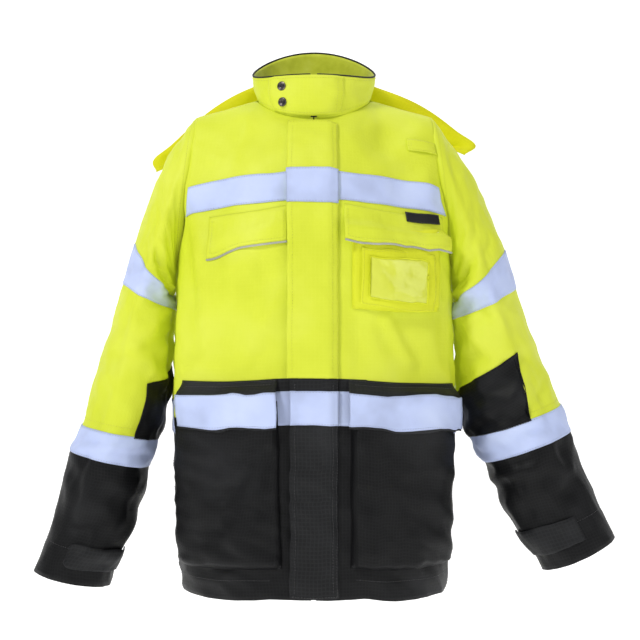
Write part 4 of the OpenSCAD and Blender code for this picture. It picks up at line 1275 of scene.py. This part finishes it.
def hang_loop():
    """A strip of webbing sewn down at both ends inside the back of the collar."""
    x = span(-30, 30, 1.5)
    z = 21 + 5.5 * (1 - (x / 30) ** 4) - 6 * (np.abs(x) > 27) * (np.abs(x) - 27) / 3
    rows = np.linspace(-2.6, 2.6, 6)
    y = 68 - 4 * (1 - (x / 30) ** 2)
    grid = stack(x[None, :], y[None, :], z[None, :] + rows[:, None])
    dress(sheet("hang_loop", grid, 1.6), "web", "coat_body", ("hang_loop",))


# ---- front closure -------------------------------------------------------------------------------
ZIP_TOP, ZIP_LOW = -70.0, -745.0
SLIDER_Z = -205.0
TOOTH_PITCH = 4.5


def front_point(x, z, off):
    x, z = np.atleast_2d(np.asarray(x, float)), np.atleast_2d(np.asarray(z, float))
    th = angle(x, z)
    return base_pt(th, level(th, z)) + off * np.array([0.0, -1.0, 0.0])


def zip_parts():
    tapes = []
    for sign in (-1, 1):
        a, b = sorted((sign * 1.6, sign * 16))
        patch = Patch([(a, ZIP_LOW), (b, ZIP_LOW), (b, ZIP_TOP), (a, ZIP_TOP)], 3.5)
        tapes.append(sheet("tape", patch.grid(1.7), 0.8))
    dress(merge("zip_tapes", tapes), "web", "coat_body", ("zip_tapes",))
    z = np.arange(ZIP_LOW + 12, ZIP_TOP - 3, TOOTH_PITCH)
    line = coat_grid(np.array([[-0.5, 0.0, 0.5]]), level(np.zeros((len(z), 3)), z[:, None] + 0 * np.zeros((1, 3))), 3.1)[:, 1]
    teeth = [bevelled_box("tooth", p + [sign * 1.5, 0, sign * TOOTH_PITCH / 4], (2.6, 1.3, 1.7), 0.35)
             for p in line for sign in (-1, 1)]
    dress(merge("zip_teeth", teeth), "zip", "coat_body", ("zip_teeth",))
    box_at = line[0] - [0, 0, 9]
    dress(bevelled_box("zip_stop_box", box_at, (11, 2.4, 9), 0.6), "zip", "coat_body",
          ("zip_stop_box",))
    lo, hi = [np.array(c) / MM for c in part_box("zip_slider")]
    mid = (lo + hi) / 2
    body = [bevelled_box("plate", mid, (10.6, 1.4, 14.6), 0.5),
            bevelled_box("bridge", mid + [0, -0.9, 3.2], (3.0, 0.9, 6.0), 0.35)]
    dress(merge("zip_slider", body), "snap", "zip_slider", ("zip_slider",))
    lo, hi = [np.array(c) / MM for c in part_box("zip_pull")]
    mid = (lo + hi) / 2
    top, low = np.array([0, mid[1], hi[2] - 3.2]), np.array([0, mid[1], lo[2] + 4.2])
    bars = [bevelled_box("bar", (top + low) / 2 + [s * 2.0, 0, 0], (1.3, 0.9, top[2] - low[2] + 2), 0.3) for s in (-1, 1)]
    bars.append(bevelled_box("head", top + [0, 0, 1.6], (5.4, 0.95, 1.6), 0.35))
    bars.append(bevelled_box("grip", low - [0, 0, 0.6], (6.2, 1.0, 6.4), 0.4))
    dress(merge("zip_pull", bars), "snap", "zip_pull", ("zip_pull",))


STORM_OFF = 10.0


def storm_relief(p):
    """The flap's own creases: gathered rows near the collar, a soft wave down the panel."""
    width = STORM_HINGE_X - STORM_FREE_X
    across = (p.x - STORM_FREE_X) / width
    gathers = 1.1 * np.sin(p.z / 4.6 + 1.3 * np.sin(p.x / 17)) * np.exp(-((p.z + 72) / 22) ** 2) * np.sin(math.pi * across)
    wave = 1.3 * wobble(p.x * 0.5, p.z, 90, 41) * np.sin(math.pi * np.clip(across, 0, 1))
    seam_rows = pucker(p.z, p.right - 3, 3) + pucker(p.z + 5, p.left - 7, 4)
    return gathers + wave + 0.7 * seam_rows


def storm_off(p):
    """Height of the flap: it rises off the coat away from its stitched edge."""
    return 4.4 + (STORM_OFF - 4.4) * ease(p.right / 15)


def storm_piece(name, z_low, z_high, free_x, look, off=0.0, thick=2.0, nodes=(), lines="lr", thread="thread"):
    p = Patch([(free_x, z_low), (STORM_HINGE_X, z_low), (STORM_HINGE_X, z_high), (free_x, z_high)], 3.2)
    grid = p.grid(storm_off(p) + storm_relief(p) + off)
    grid = grid + normals(grid) * seam_dip(grid, 0.5, 1.3)[..., None]
    obj = dress_moving(sheet(name, grid, thick), look, nodes)
    if lines:
        rows = inset(p, grid, 2.2, lines)
        sew("storm_flap", thread, lifted_lines(rows))
    return obj, p, grid


def storm_flap():
    _, p, grid = storm_piece("storm_flap_upper", FLAP_Z + 0.3, -53, STORM_FREE_X, "yellow",
                             nodes=("storm_flap_upper",), lines="")
    sew("storm_flap", "thread", lifted_lines(inset(p, grid, 2.5, "rt") + inset(p, grid, 8.5, "r") + inset(p, grid, 7.5, "l")))
    _, p, grid = storm_piece("storm_flap_lower", HEM_Z + 4, FLAP_Z - 0.3, STORM_LOW_FREE_X, "strip",
                             nodes=("storm_flap_lower",), lines="")
    sew("storm_flap", "dark_thread", lifted_lines(inset(p, grid, 2.5, "rb") + inset(p, grid, 8.5, "r") + inset(p, grid, 7.5, "l")))
    pieces = []
    for k, (top, free) in enumerate(((CHEST_TAPE_TOP, STORM_FREE_X), (WAIST_TAPE_TOP, STORM_LOW_FREE_X))):
        p = Patch([(free, top - TAPE_W), (STORM_HINGE_X, top - TAPE_W), (STORM_HINGE_X, top), (free, top)], 3.2)
        grid = p.grid(storm_off(p) + storm_relief(p) + 1.5)
        pieces.append(sheet("tape", grid, 1.2))
        sew("storm_flap", "tape_thread", lifted_lines(inset(p, grid, 2.0, "tb")))
    dress_moving(merge("storm_flap_tapes", pieces), "tape", ("storm_flap_tapes",))
    for name, off, body in (("storm_flap_hooks", 6.6, "storm_flap"), ("storm_flap_loops", 2.2, "coat_body")):
        squares = []
        for mid in (-110, -250, -400, -560, -700):
            q = Patch([(-33, mid - 25), (-19, mid - 25), (-19, mid + 25), (-33, mid + 25)], 2.5)
            squares.append(sheet("square", q.grid(off), 1.2))
        dress(merge(name, squares), "hook", body, (name,))


# ---- tapes, pockets and flaps --------------------------------------------------------------------
def tapes():
    for side, sign in (("right", -1), ("left", 1)):
        obj, grid = chest_tape("chest_tape_" + side, sign)
        dress(obj, "tape", "coat_body", ("chest_tape_" + side,))
        sew("coat_body", "tape_thread", lifted_lines([grid[0] * 0.5 + grid[1] * 0.5, grid[-1] * 0.5 + grid[-2] * 0.5]))
    obj, grid = back_band("back_tape", 99, 261, -196, -196 + TAPE_W, 2.4)
    dress(obj, "tape", "coat_body", ("back_tape",))
    sew("coat_body", "tape_thread", lifted_lines([grid[0] * 0.5 + grid[1] * 0.5, grid[-1] * 0.5 + grid[-2] * 0.5]))
    band, grid = back_band("waist_back", 74, 286, -470 - TAPE_W, -470, 1.3)
    sew("coat_body", "tape_thread", lifted_lines([grid[0] * 0.5 + grid[1] * 0.5, grid[-1] * 0.5 + grid[-2] * 0.5]))
    parts = [band]
    for x0, x1 in ((-78, -22), (22, 78)):
        p = Patch([(x0, WAIST_TAPE_TOP - TAPE_W), (x1, WAIST_TAPE_TOP - TAPE_W), (x1, WAIST_TAPE_TOP),
                   (x0, WAIST_TAPE_TOP)], 4)
        parts.append(sheet("front_part", p.grid(1.4), 0.9))
    dress(merge("waist_tape", parts), "tape", "coat_body", ("waist_tape",))
    strips = []
    for x0, x1 in ((-78, -22), (22, 78)):
        p = Patch([(x0, DARK_Z), (x1, DARK_Z), (x1, FLAP_Z), (x0, FLAP_Z)], 4)
        strips.append(sheet("strip", p.grid(0.5), 0.5))
    dress(merge("waist_strip", strips), "strip", "coat_body")


FLAP_T = 1.8
CHEST_FLAPS = {
    "right": ([(-160, -241), (-37, -232), (-37, -178), (-160, -190)], 4.2),
    "left": ([(44, -229), (196, -243), (196, -192), (44, -176)], 16.0),
}
FLAP_SEAM_DROP = 18.0


def chest_flaps():
    for side, (corners, out) in CHEST_FLAPS.items():
        p = Patch(corners, 3.2)
        rise = 1.4 + 1.4 * ease(p.top / 6) + (out - 2.8) * ease((p.top - FLAP_SEAM_DROP) / 16)
        rise = rise + 0.9 * wobble(p.a, p.b, 70, 51) * ease(p.top / 12)
        grid = p.grid(rise + pucker(p.a, p.top - FLAP_SEAM_DROP, 8, 0.35))
        droop = 13.0 * ease(1 - p.left / 55) if side == "right" else 0 * p.u
        grid[..., 2] -= droop * (1 - p.v)
        grid = grid + normals(grid) * seam_dip(grid, 0.5, 1.4)[..., None]
        dress_moving(sheet("chest_flap_" + side, grid, FLAP_T), "yellow",
                     ("chest_flap_" + side,))
        sew("chest_flap_" + side, "thread", lifted_lines(inset(p, grid, 5.5, "lrb")))
        edge = grid[0] + [0, -0.1, -1.3] - normals(grid)[0] * 0.7
        dress_moving(tube("chest_piping_" + side, resample(edge, 3), 1.6), "piping",
                     ("chest_piping_" + side,))


def bellows(name, corners, proud, look, folds=(), mouth=0.0, seed=61, wall=1.4, pitch=3.4, thread="dark_thread"):
    """A patch pocket with turned edges, standing proud between its sewn sides."""
    p = Patch(corners, pitch)
    side = ease((p.left - 1.5) / 7) * ease((p.right - 1.5) / 7) * ease((p.low - 1.5) / 7)
    centre = np.sin(math.pi * np.clip(p.u, 0, 1)) ** 0.6
    body = (proud - 2.6) * side + 1.1 * wobble(p.a, p.b, 85, seed) * side * centre
    for fold in folds:
        body = body + crease(stack(p.x, 0, p.z), *fold) * side
    grid = p.grid(2.6 + body + mouth * np.exp(-(p.top / 12) ** 2) * side)
    obj = dress(sheet(name, grid, wall), look, "coat_body", (name,))
    sew("coat_body", thread, lifted_lines(inset(p, p.grid(2.7), 2.2, "lrb")))
    return obj, p, grid


POCKETS = {
    "right": [(-206, -718), (-46, -718), (-52, -470), (-206, -470)],
    "left": [(56, -718), (208, -718), (212, -470), (54, -470)],
}
POCKET_FOLDS = {
    "right": [((-196, -520), (-150, -700), 12, 3.0), ((-70, -520), (-100, -705), 14, 2.6),
              ((-60, -540), (-56, -700), 6, -4.0), ((-150, -640), (-70, -700), 12, 2.0)],
    "left": [((196, -520), (160, -700), 14, 3.0), ((75, -520), (96, -705), 12, 2.6),
             ((66, -540), (62, -690), 6, -3.0), ((170, -620), (110, -705), 12, -2.0)],
}
LOWER_FLAPS = {"right": (-194, -52), "left": (50, 214)}
LOWER_OUT = 16.8


def lower_pockets():
    for side, corners in POCKETS.items():
        bellows("lower_pocket_" + side, corners, 14.4, "black", POCKET_FOLDS[side],
                seed=61 if side == "right" else 67)


def lower_off(p):
    return 2.0 + (LOWER_OUT - 2.0) * ease(p.top / 24) + 0.8 * wobble(p.a, p.b, 90, 71) * ease(p.top / 20)


def lower_flaps():
    bottom = WAIST_TAPE_TOP - TAPE_W - 3.5
    for side, (x0, x1) in LOWER_FLAPS.items():
        tilt = {"right": (0, 0), "left": (0, -5)}[side]
        corners = [(x0, bottom + tilt[0]), (x1, bottom + tilt[1]), (x1, FLAP_Z + tilt[1]), (x0, FLAP_Z + tilt[0])]
        p = Patch(corners, 3.4)
        grid = p.grid(lower_off(p))
        grid = grid + normals(grid) * seam_dip(grid, 0.5, 1.4)[..., None]
        name = "lower_flap_" + side
        dress_moving(sheet(name, grid, 1.8), "strip", (name,))
        sew(name, "dark_thread", lifted_lines(inset(p, grid, 2.2, "t") + inset(p, grid, 8, "t")))
        rows = p.b[:, 0]
        high = p.b[-1, 0] - (FLAP_Z - WAIST_TAPE_TOP)
        keep = (rows <= high + 1) & (rows >= 3.0)
        tape_grid = p.grid(lower_off(p) + 1.5)[keep]
        name = "lower_flap_tape_" + side
        dress_moving(sheet(name, tape_grid, 1.2), "tape", (name,))
        sew("lower_flap_" + side, "tape_thread",
            lifted_lines([tape_grid[0] * 0.4 + tape_grid[1] * 0.6, tape_grid[-1] * 0.4 + tape_grid[-2] * 0.6]))


CHEST_POCKET = [(56, -333), (188, -333), (188, -212), (56, -212)]
HOLDER = [(68, -325), (174, -333), (176, -250), (70, -239)]
PANE = [(80, -314), (161, -320), (165, -262), (82, -251)]


def chest_pocket():
    folds = [((68, -240), (66, -325), 4, -3.5), ((120, -325), (182, -250), 30, 1.2)]
    bellows("chest_pocket_left", CHEST_POCKET, 10.4, "pocket", folds, thread="thread", seed=73)
    p = Patch(HOLDER, 2.8)
    bow = 0.8 * wobble(p.a, p.b, 80, 75)
    grid = p.grid(12.2 + bow)
    grid = grid + normals(grid) * seam_dip(grid, 0.5, 1.3)[..., None]
    obj = sheet("window_holder", grid, 2.0)
    dress_moving(obj, "pocket", ("window_holder",))
    sew("window_holder", "thread", lifted_lines(inset(p, grid, 2.6)))
    q = Patch(PANE, 2.8)
    pane = q.grid(14.3 + 0.35 * wobble(q.a, q.b, 50, 77) * ease(q.near / 8))
    dress_moving(sheet("window_pane", pane, 0.6), "film", ("window_pane",))
    frame_lines = inset(q, pane, 0.2)
    loop = np.concatenate([frame_lines[0], frame_lines[3], frame_lines[1][::-1], frame_lines[2][::-1]])
    obj = tube("window_binding", resample(np.vstack([loop, loop[:1]]), 2.2), 1.0, turns=8)
    dress_moving(obj, "pocket")


def small_patches():
    p = Patch([(139, -199), (189, -204), (188, -189), (138, -184)], 2.2)
    grid = p.grid(5.2)
    dress(sheet("name_patch", grid, 0.9), "patch", "coat_body", ("name_patch",))
    sew("coat_body", "dark_thread", lifted_lines(inset(p, grid, 1.2)))
    p = Patch([(147, -88), (193, -94), (190, -75), (145, -70)], 2.2)
    bow = 2.4 * np.sin(math.pi * p.u) ** 1.2
    grid = p.grid(2.6 + bow)
    grid = grid + normals(grid) * seam_dip(grid, 0.6, 1.2)[..., None]
    dress(sheet("mic_tab", grid, 1.5), "yellow", "coat_body", ("mic_tab",))
    sew("coat_body", "thread", lifted_lines(inset(p, grid, 1.8) + inset(p, grid, 6.0, "lr")))


# ---- cloth simulation ----------------------------------------------------------------------------
SIM_FRAMES = 24
BODY_GROWTH = 0.045
SLEEVE_GROWTH = 0.035
MOST_SHIFT = 9.0
SLEEVE_MOST = 5.0


def cloth_run(verts, faces, pin, growth, gravity, frames=SIM_FRAMES):
    """Lets a cloth that is a little too big for its shape buckle against soft pins; gives its new places."""
    obj = mesh_object("cloth_run", verts, faces)
    group = obj.vertex_groups.new(name="pin")
    for level_now in np.unique(np.round(pin, 2)):
        group.add(np.where(np.round(pin, 2) == level_now)[0].tolist(), float(level_now), "REPLACE")
    modifier = obj.modifiers.new("cloth", "CLOTH")
    c = modifier.settings
    c.quality = 6
    c.mass = 0.25
    c.tension_stiffness = 20
    c.compression_stiffness = 12
    c.shear_stiffness = 6
    c.bending_stiffness = 0.6
    c.air_damping = 3
    c.shrink_min = -growth
    c.vertex_group_mass = "pin"
    c.pin_stiffness = 0.6
    c.effector_weights.gravity = gravity
    modifier.collision_settings.use_collision = False
    modifier.collision_settings.use_self_collision = False
    modifier.point_cache.frame_start = 1
    modifier.point_cache.frame_end = frames
    scene = bpy.context.scene
    for frame_number in range(1, frames + 1):
        scene.frame_set(frame_number)
    done = obj.evaluated_get(bpy.context.evaluated_depsgraph_get()).to_mesh()
    co = np.empty(len(done.vertices) * 3, np.float32)
    done.vertices.foreach_get("co", co)
    bpy.data.objects.remove(obj)
    scene.frame_set(1)
    return co.reshape(-1, 3) / MM


def calm(shift, most=MOST_SHIFT):
    """Limits a displacement softly."""
    size = np.linalg.norm(shift, axis=-1, keepdims=True)
    return shift * (most * np.tanh(size / most) / np.maximum(size, 1e-6))


def smooth_grid(d, wrap_cols, rounds=2):
    for _ in range(rounds):
        d = np.concatenate([d[:1], (d[:-2] + 2 * d[1:-1] + d[2:]) / 4, d[-1:]])
        if wrap_cols:
            d = (np.roll(d, 1, 1) + 2 * d + np.roll(d, -1, 1)) / 4
    return d


def simulate_body():
    th, v = SIM_TH[None, :-1], SIM_V[:, None]
    base = base_pt(th, v)
    start = base + normals(base, True) * drape(base)[..., None]
    rows, cols = start.shape[:2]
    pin = np.full((rows, cols), 0.05)
    pin = np.maximum(pin, (v > 0.9) * 1.0)
    pin = np.maximum(pin, 0.9 * np.exp(-((np.abs(th) - 90) / 9) ** 2) * (v > 0))
    pin = np.maximum(pin, 0.55 * np.exp(-(th / 14) ** 2) + 0 * v)
    pin = np.maximum(pin, 0.3 * np.exp(-((v - V_DARK) / 25) ** 2) + 0 * th)
    moved = cloth_run(start.reshape(-1, 3), grid_faces(rows, cols, True), pin.ravel(), BODY_GROWTH, 0.35)
    shift = smooth_grid(calm(moved.reshape(rows, cols, 3) - start), True)
    shift *= (1 - ease((v - 0.86) / 0.12))[..., None]
    SIM_SHIFT[:] = np.concatenate([shift, shift[:, :1]], axis=1)


def simulate_sleeve(side):
    st, phi = SLEEVE_ST[:, None], SLEEVE_PHI[None, :]
    base = sleeve_base(side, st, phi)
    n = normals(base, True)
    if side == "right":
        n = -n
    start = base + n * sleeve_relief(side, st + 0 * phi, phi + 0 * st)[..., None]
    rows, cols = start.shape[:2]
    pin = np.full((rows, cols), 0.04)
    pin = np.maximum(pin, (st < 0.35) * 1.0 + 0 * phi)
    pin = np.maximum(pin, 0.35 * np.exp(-((st - 9.9) / 0.4) ** 2) + 0 * phi)
    moved = cloth_run(start.reshape(-1, 3), grid_faces(rows, cols, True), pin.ravel(), SLEEVE_GROWTH, 0.5)
    along = np.einsum("ijk,ijk->ij", moved.reshape(rows, cols, 3) - start, n)
    along = SLEEVE_MOST * np.tanh(along / SLEEVE_MOST)
    SLEEVE_SHIFT[side][:] = smooth_grid(along, True, 1) * ease(st / 0.6)


def simulate():
    simulate_body()
    for side in STATIONS:
        simulate_sleeve(side)


# ---- sleeves as pieces ---------------------------------------------------------------------------
# Elbow patches: angle round the sleeve, low station and high station of each corner
GUSSET_END = 7.1
GUSSETS = {
    "left": [(71, 5.51, 5.6), (77, 5.54, 6.3), (83, 5.57, GUSSET_END), (186, 6.09, GUSSET_END), (212, 6.2, GUSSET_END)],
    "right": [(122, 6.95, GUSSET_END), (129, 5.71, GUSSET_END), (186, 5.98, GUSSET_END), (212, 6.08, GUSSET_END)],
}
UPPER_BAND = (3.3, 4.15)
LOWER_BAND = (7.05, 8.0)
CUFF_BAND = 9.45
TAB_STATION = 9.55


def sleeve_patch(name, side, phi, low, high, rows, off, thick):
    """A patch on a sleeve; low and high give the station at each angle."""
    t = np.linspace(0, 1, rows)[:, None]
    st = low[None, :] + (high - low)[None, :] * t
    return sheet(name, sleeve_grid(side, st, phi[None, :] + 0 * t, off), thick)


def cuff_hem(st):
    return 0.9 * ease((st - CUFF_BAND - 0.02) / 0.05)


def sleeves():
    for side in ("left", "right"):
        body = "sleeve_" + side
        obj = sleeve_tube("sleeve_upper_" + side, side, 0.0, DARK_STATION - 0.004, 0.0, 1.6)
        dress_moving(obj, "yellow", ("sleeve_cap_" + side, "sleeve_upper_" + side))
        obj = sleeve_tube("sleeve_lower_" + side, side, DARK_STATION + 0.004, END_STATION, 0.0, 1.6, cuff_hem)
        dress(obj, "black", body, ("sleeve_lower_" + side,))
        st = span(0.6, 9.8, 0.2)[:, None]
        inner = sleeve_grid(side, st, tube_phis(8.0), -3.6, True, 0.9)
        obj = sheet("sleeve_lining_" + side, inner, 1.2, True)
        dress_moving(obj, "lining", ("sleeve_lining_" + side,))
        bands = []
        for low, high in (UPPER_BAND, LOWER_BAND):
            bands.append(sleeve_tube("band", side, low, high, 1.4, 1.1))
            for st in (low + 0.035, high - 0.035):
                line = sleeve_line(side, st, np.arange(0, 361, 4.0), 1.8)
                sew(body, "tape_thread", [line])
        dress_moving(merge("sleeve_tapes_" + side, bands), "tape", ("sleeve_tapes_" + side,))
        corner_phi, corner_low, corner_high = np.array(GUSSETS[side]).T
        phi = np.unique(np.concatenate([corner_phi, np.linspace(corner_phi[0], corner_phi[-1], 50)]))
        low = np.interp(phi, corner_phi, corner_low)
        high = np.interp(phi, corner_phi, corner_high)
        obj = sleeve_patch("elbow_gusset_" + side, side, phi, low, high, 30, 1.7, 1.3)
        dress(obj, "black", body, ("elbow_gusset_" + side,))
        full = np.arange(0, 361, 3.0)
        sew(body, "dark_thread", [sleeve_line(side, CUFF_BAND, full, 0.5)])
        sew(body, "thread", [sleeve_line(side, DARK_STATION - 0.62, full, 0.3), sleeve_line(side, 0.1, full, 0.4)])
        tab_phi = np.linspace(78, 186, 46)
        ends = np.clip((tab_phi - 176) / 10, 0, 1) ** 2
        half = 0.2 * np.sqrt(1 - 0.55 * ends)
        tab_off_now = 1.6 + 3.2 * ease((tab_phi - 78) / 16)
        t = np.linspace(-1, 1, 12)[:, None]
        stations = TAB_STATION + half[None, :] * t
        grid = sleeve_grid(side, stations, tab_phi[None, :] + 0 * t, tab_off_now[None, :] + 0 * t)
        grid = grid + normals(grid) * seam_dip(grid, 0.5, 1.4)[..., None]
        dress_moving(sheet("cuff_tab_" + side, grid, 1.8), "strip",
                     ("cuff_tab_" + side,))
        obj = sleeve_patch("cuff_loop_" + side, side, np.linspace(108, 162, 18), np.full(18, 9.42),
                              np.full(18, 9.68), 7, 1.9, 0.9)
        dress(obj, "hook", body, ("cuff_loop_" + side,))


# ---- hood ----------------------------------------------------------------------------------------
def hood():
    u = np.linspace(1, -1, 91)[None, :]
    w = np.linspace(0, 1, 71)[:, None]
    shell = hood_grid(u, w)
    t = np.linspace(0, 1, 8)[:-1, None]
    a = np.abs(u)
    seam = collar_base(180 - 40 * u) + stack(0, 3.0, 6.0 + 0 * u)
    neck = shell[:1] + 0 * shell[:1]
    bridge = seam + (neck - seam) * t[..., None] + stack(0, 0, 5 * np.sin(math.pi * t) * (1 - 0.3 * a))
    grid = np.concatenate([bridge, shell])
    grid = grid + normals(grid) * seam_dip(grid, 0.6, 2.0)[..., None]
    dress_moving(sheet("hood_shell", grid, 1.6), "hood", ("hood_shell",))
    inner = hood_grid(np.linspace(0.97, -0.97, 61)[None, :], np.linspace(0.03, 0.985, 51)[:, None], -2.4)
    dress_moving(sheet("hood_lining", inner, 1.2), "fleece", ("hood_lining",))
    rows = hood_grid(u, np.array([[0.9], [0.965], [0.98]]) + 0 * u, 0.35)
    sew("hood", "thread", [rows[1]])


# ---- stitching that lies on the body panels ------------------------------------------------------
def body_stitches():
    flat = np.zeros((3, 1))
    for z in (HEM_Z + 30,):
        th = np.concatenate([span(-88, -13, 0.8)])[None, :]
        for t in (th, -th[:, ::-1]):
            v = z - UNDER_Z
            grid = coat_grid(t, np.array([[v - 1], [v], [v + 1]]), 0.4)
            sew("coat_body", "dark_thread", [grid[1]])
        t = span(92, 268, 0.8)[None, :]
        turned = np.where(t > 180, t - 360, t)
        p = base_pt(turned, np.array([[v - 1], [v], [v + 1]]))
        grid = p + normals(p) * (drape(p) + 0.4)[..., None] + simulated(turned, np.array([[v - 1], [v], [v + 1]]))
        sew("coat_body", "dark_thread", [grid[1]])
    for sign in (-1, 1):
        q = span(0.55, 0.98, 0.004)[None, :] * 90
        t = q if sign > 0 else -q[:, ::-1]
        grid = coat_grid(t, np.array([[0.955], [0.965], [0.975]]), 0.4)
        sew("coat_body", "thread", [grid[1]])
        for v0, v1, look in ((V_HEM + 2, V_DARK - 3, "dark_thread"), (V_DARK + 3, -2, "thread")):
            v = span(v0, v1, 2)[:, None]
            t = np.array([[-1.0, 0.0, 1.0]]) + sign * 86.5
            grid = coat_grid(t, v, 0.4)
            sew("coat_body", look, [grid[:, 1]])


def make_stitches():
    names = {"thread": "bright", "tape_thread": "silver", "dark_thread": "dark"}
    for (body, look), lines in SEAMS.items():
        obj = stitches("stitches_" + body + "_" + names[look], lines)
        if body in HINGES:
            dress_moving(obj, look)
        else:
            dress(obj, look, body)


# ---- light and floor -----------------------------------------------------------------------------
FLOOR_Z = -1.02


def area_light(name, place, size, energy, aim):
    data = bpy.data.lights.new(name, "AREA")
    data.shape = "RECTANGLE"
    data.size, data.size_y = size
    data.energy = energy
    obj = bpy.data.objects.new(name, data)
    obj.location = place
    away = np.array(place) - np.array(aim)
    yaw = math.atan2(away[0], -away[1])
    tilt = math.atan2(math.hypot(away[0], away[1]), away[2])
    obj.rotation_euler = (tilt, 0, yaw)
    bpy.context.scene.collection.objects.link(obj)


def studio():
    """A pale floor that curves up into a wall, under a white sky."""
    rows, cols = 24, 3
    profile = [(-4.0, 0.0)] + [(1.4 + 1.6 * math.sin(t), 1.6 - 1.6 * math.cos(t))
                               for t in np.linspace(0, math.pi / 2, rows - 2)] + [(3.0, 6.0)]
    verts = [(x, y, FLOOR_Z + z) for y, z in profile for x in (-6.0, 0.0, 6.0)]
    faces = grid_faces(len(profile), cols, False)
    obj = mesh_object("floor", np.array(verts) / MM, faces)
    n = Nodes("floor")
    place = n.add("ShaderNodeTexCoord").outputs["Object"]
    n.set(Base_Color=n.ramp(n.noise(place, 3.0, 2.0), [(0.3, (0.90, 0.90, 0.90)), (0.7, (0.93, 0.93, 0.93))]))
    n.shader.inputs["Roughness"].default_value = 0.8
    n.shader.inputs["Emission Color"].default_value = (1, 1, 1, 1)
    n.shader.inputs["Emission Strength"].default_value = 0.55
    obj.data.materials.append(n.material)
    world = bpy.data.worlds.new("sky")
    bpy.context.scene.world = world
    world.use_nodes = True
    world.node_tree.nodes["Background"].inputs["Color"].default_value = (1, 1, 1, 1)
    world.node_tree.nodes["Background"].inputs["Strength"].default_value = 0.34
    aim = (0, 0, -0.35)
    area_light("key", (-1.4, -1.7, 1.5), (0.5, 0.5), 34, aim)
    area_light("fill", (2.0, -1.9, 0.2), (1.4, 1.4), 8, aim)
    area_light("top", (0.2, 0.2, 1.7), (1.4, 1.0), 8, aim)
    view = bpy.context.scene.view_settings
    view.view_transform = "Standard"


def build():
    simulate()
    body_shell()
    dress(lining(), "lining", "coat_body", ("body_lining",))
    collar()
    collar_tab()
    snaps()
    hang_loop()
    zip_parts()
    storm_flap()
    tapes()
    chest_flaps()
    chest_pocket()
    small_patches()
    lower_pockets()
    lower_flaps()
    sleeves()
    hood()
    body_stitches()
    make_stitches()


build()
studio()
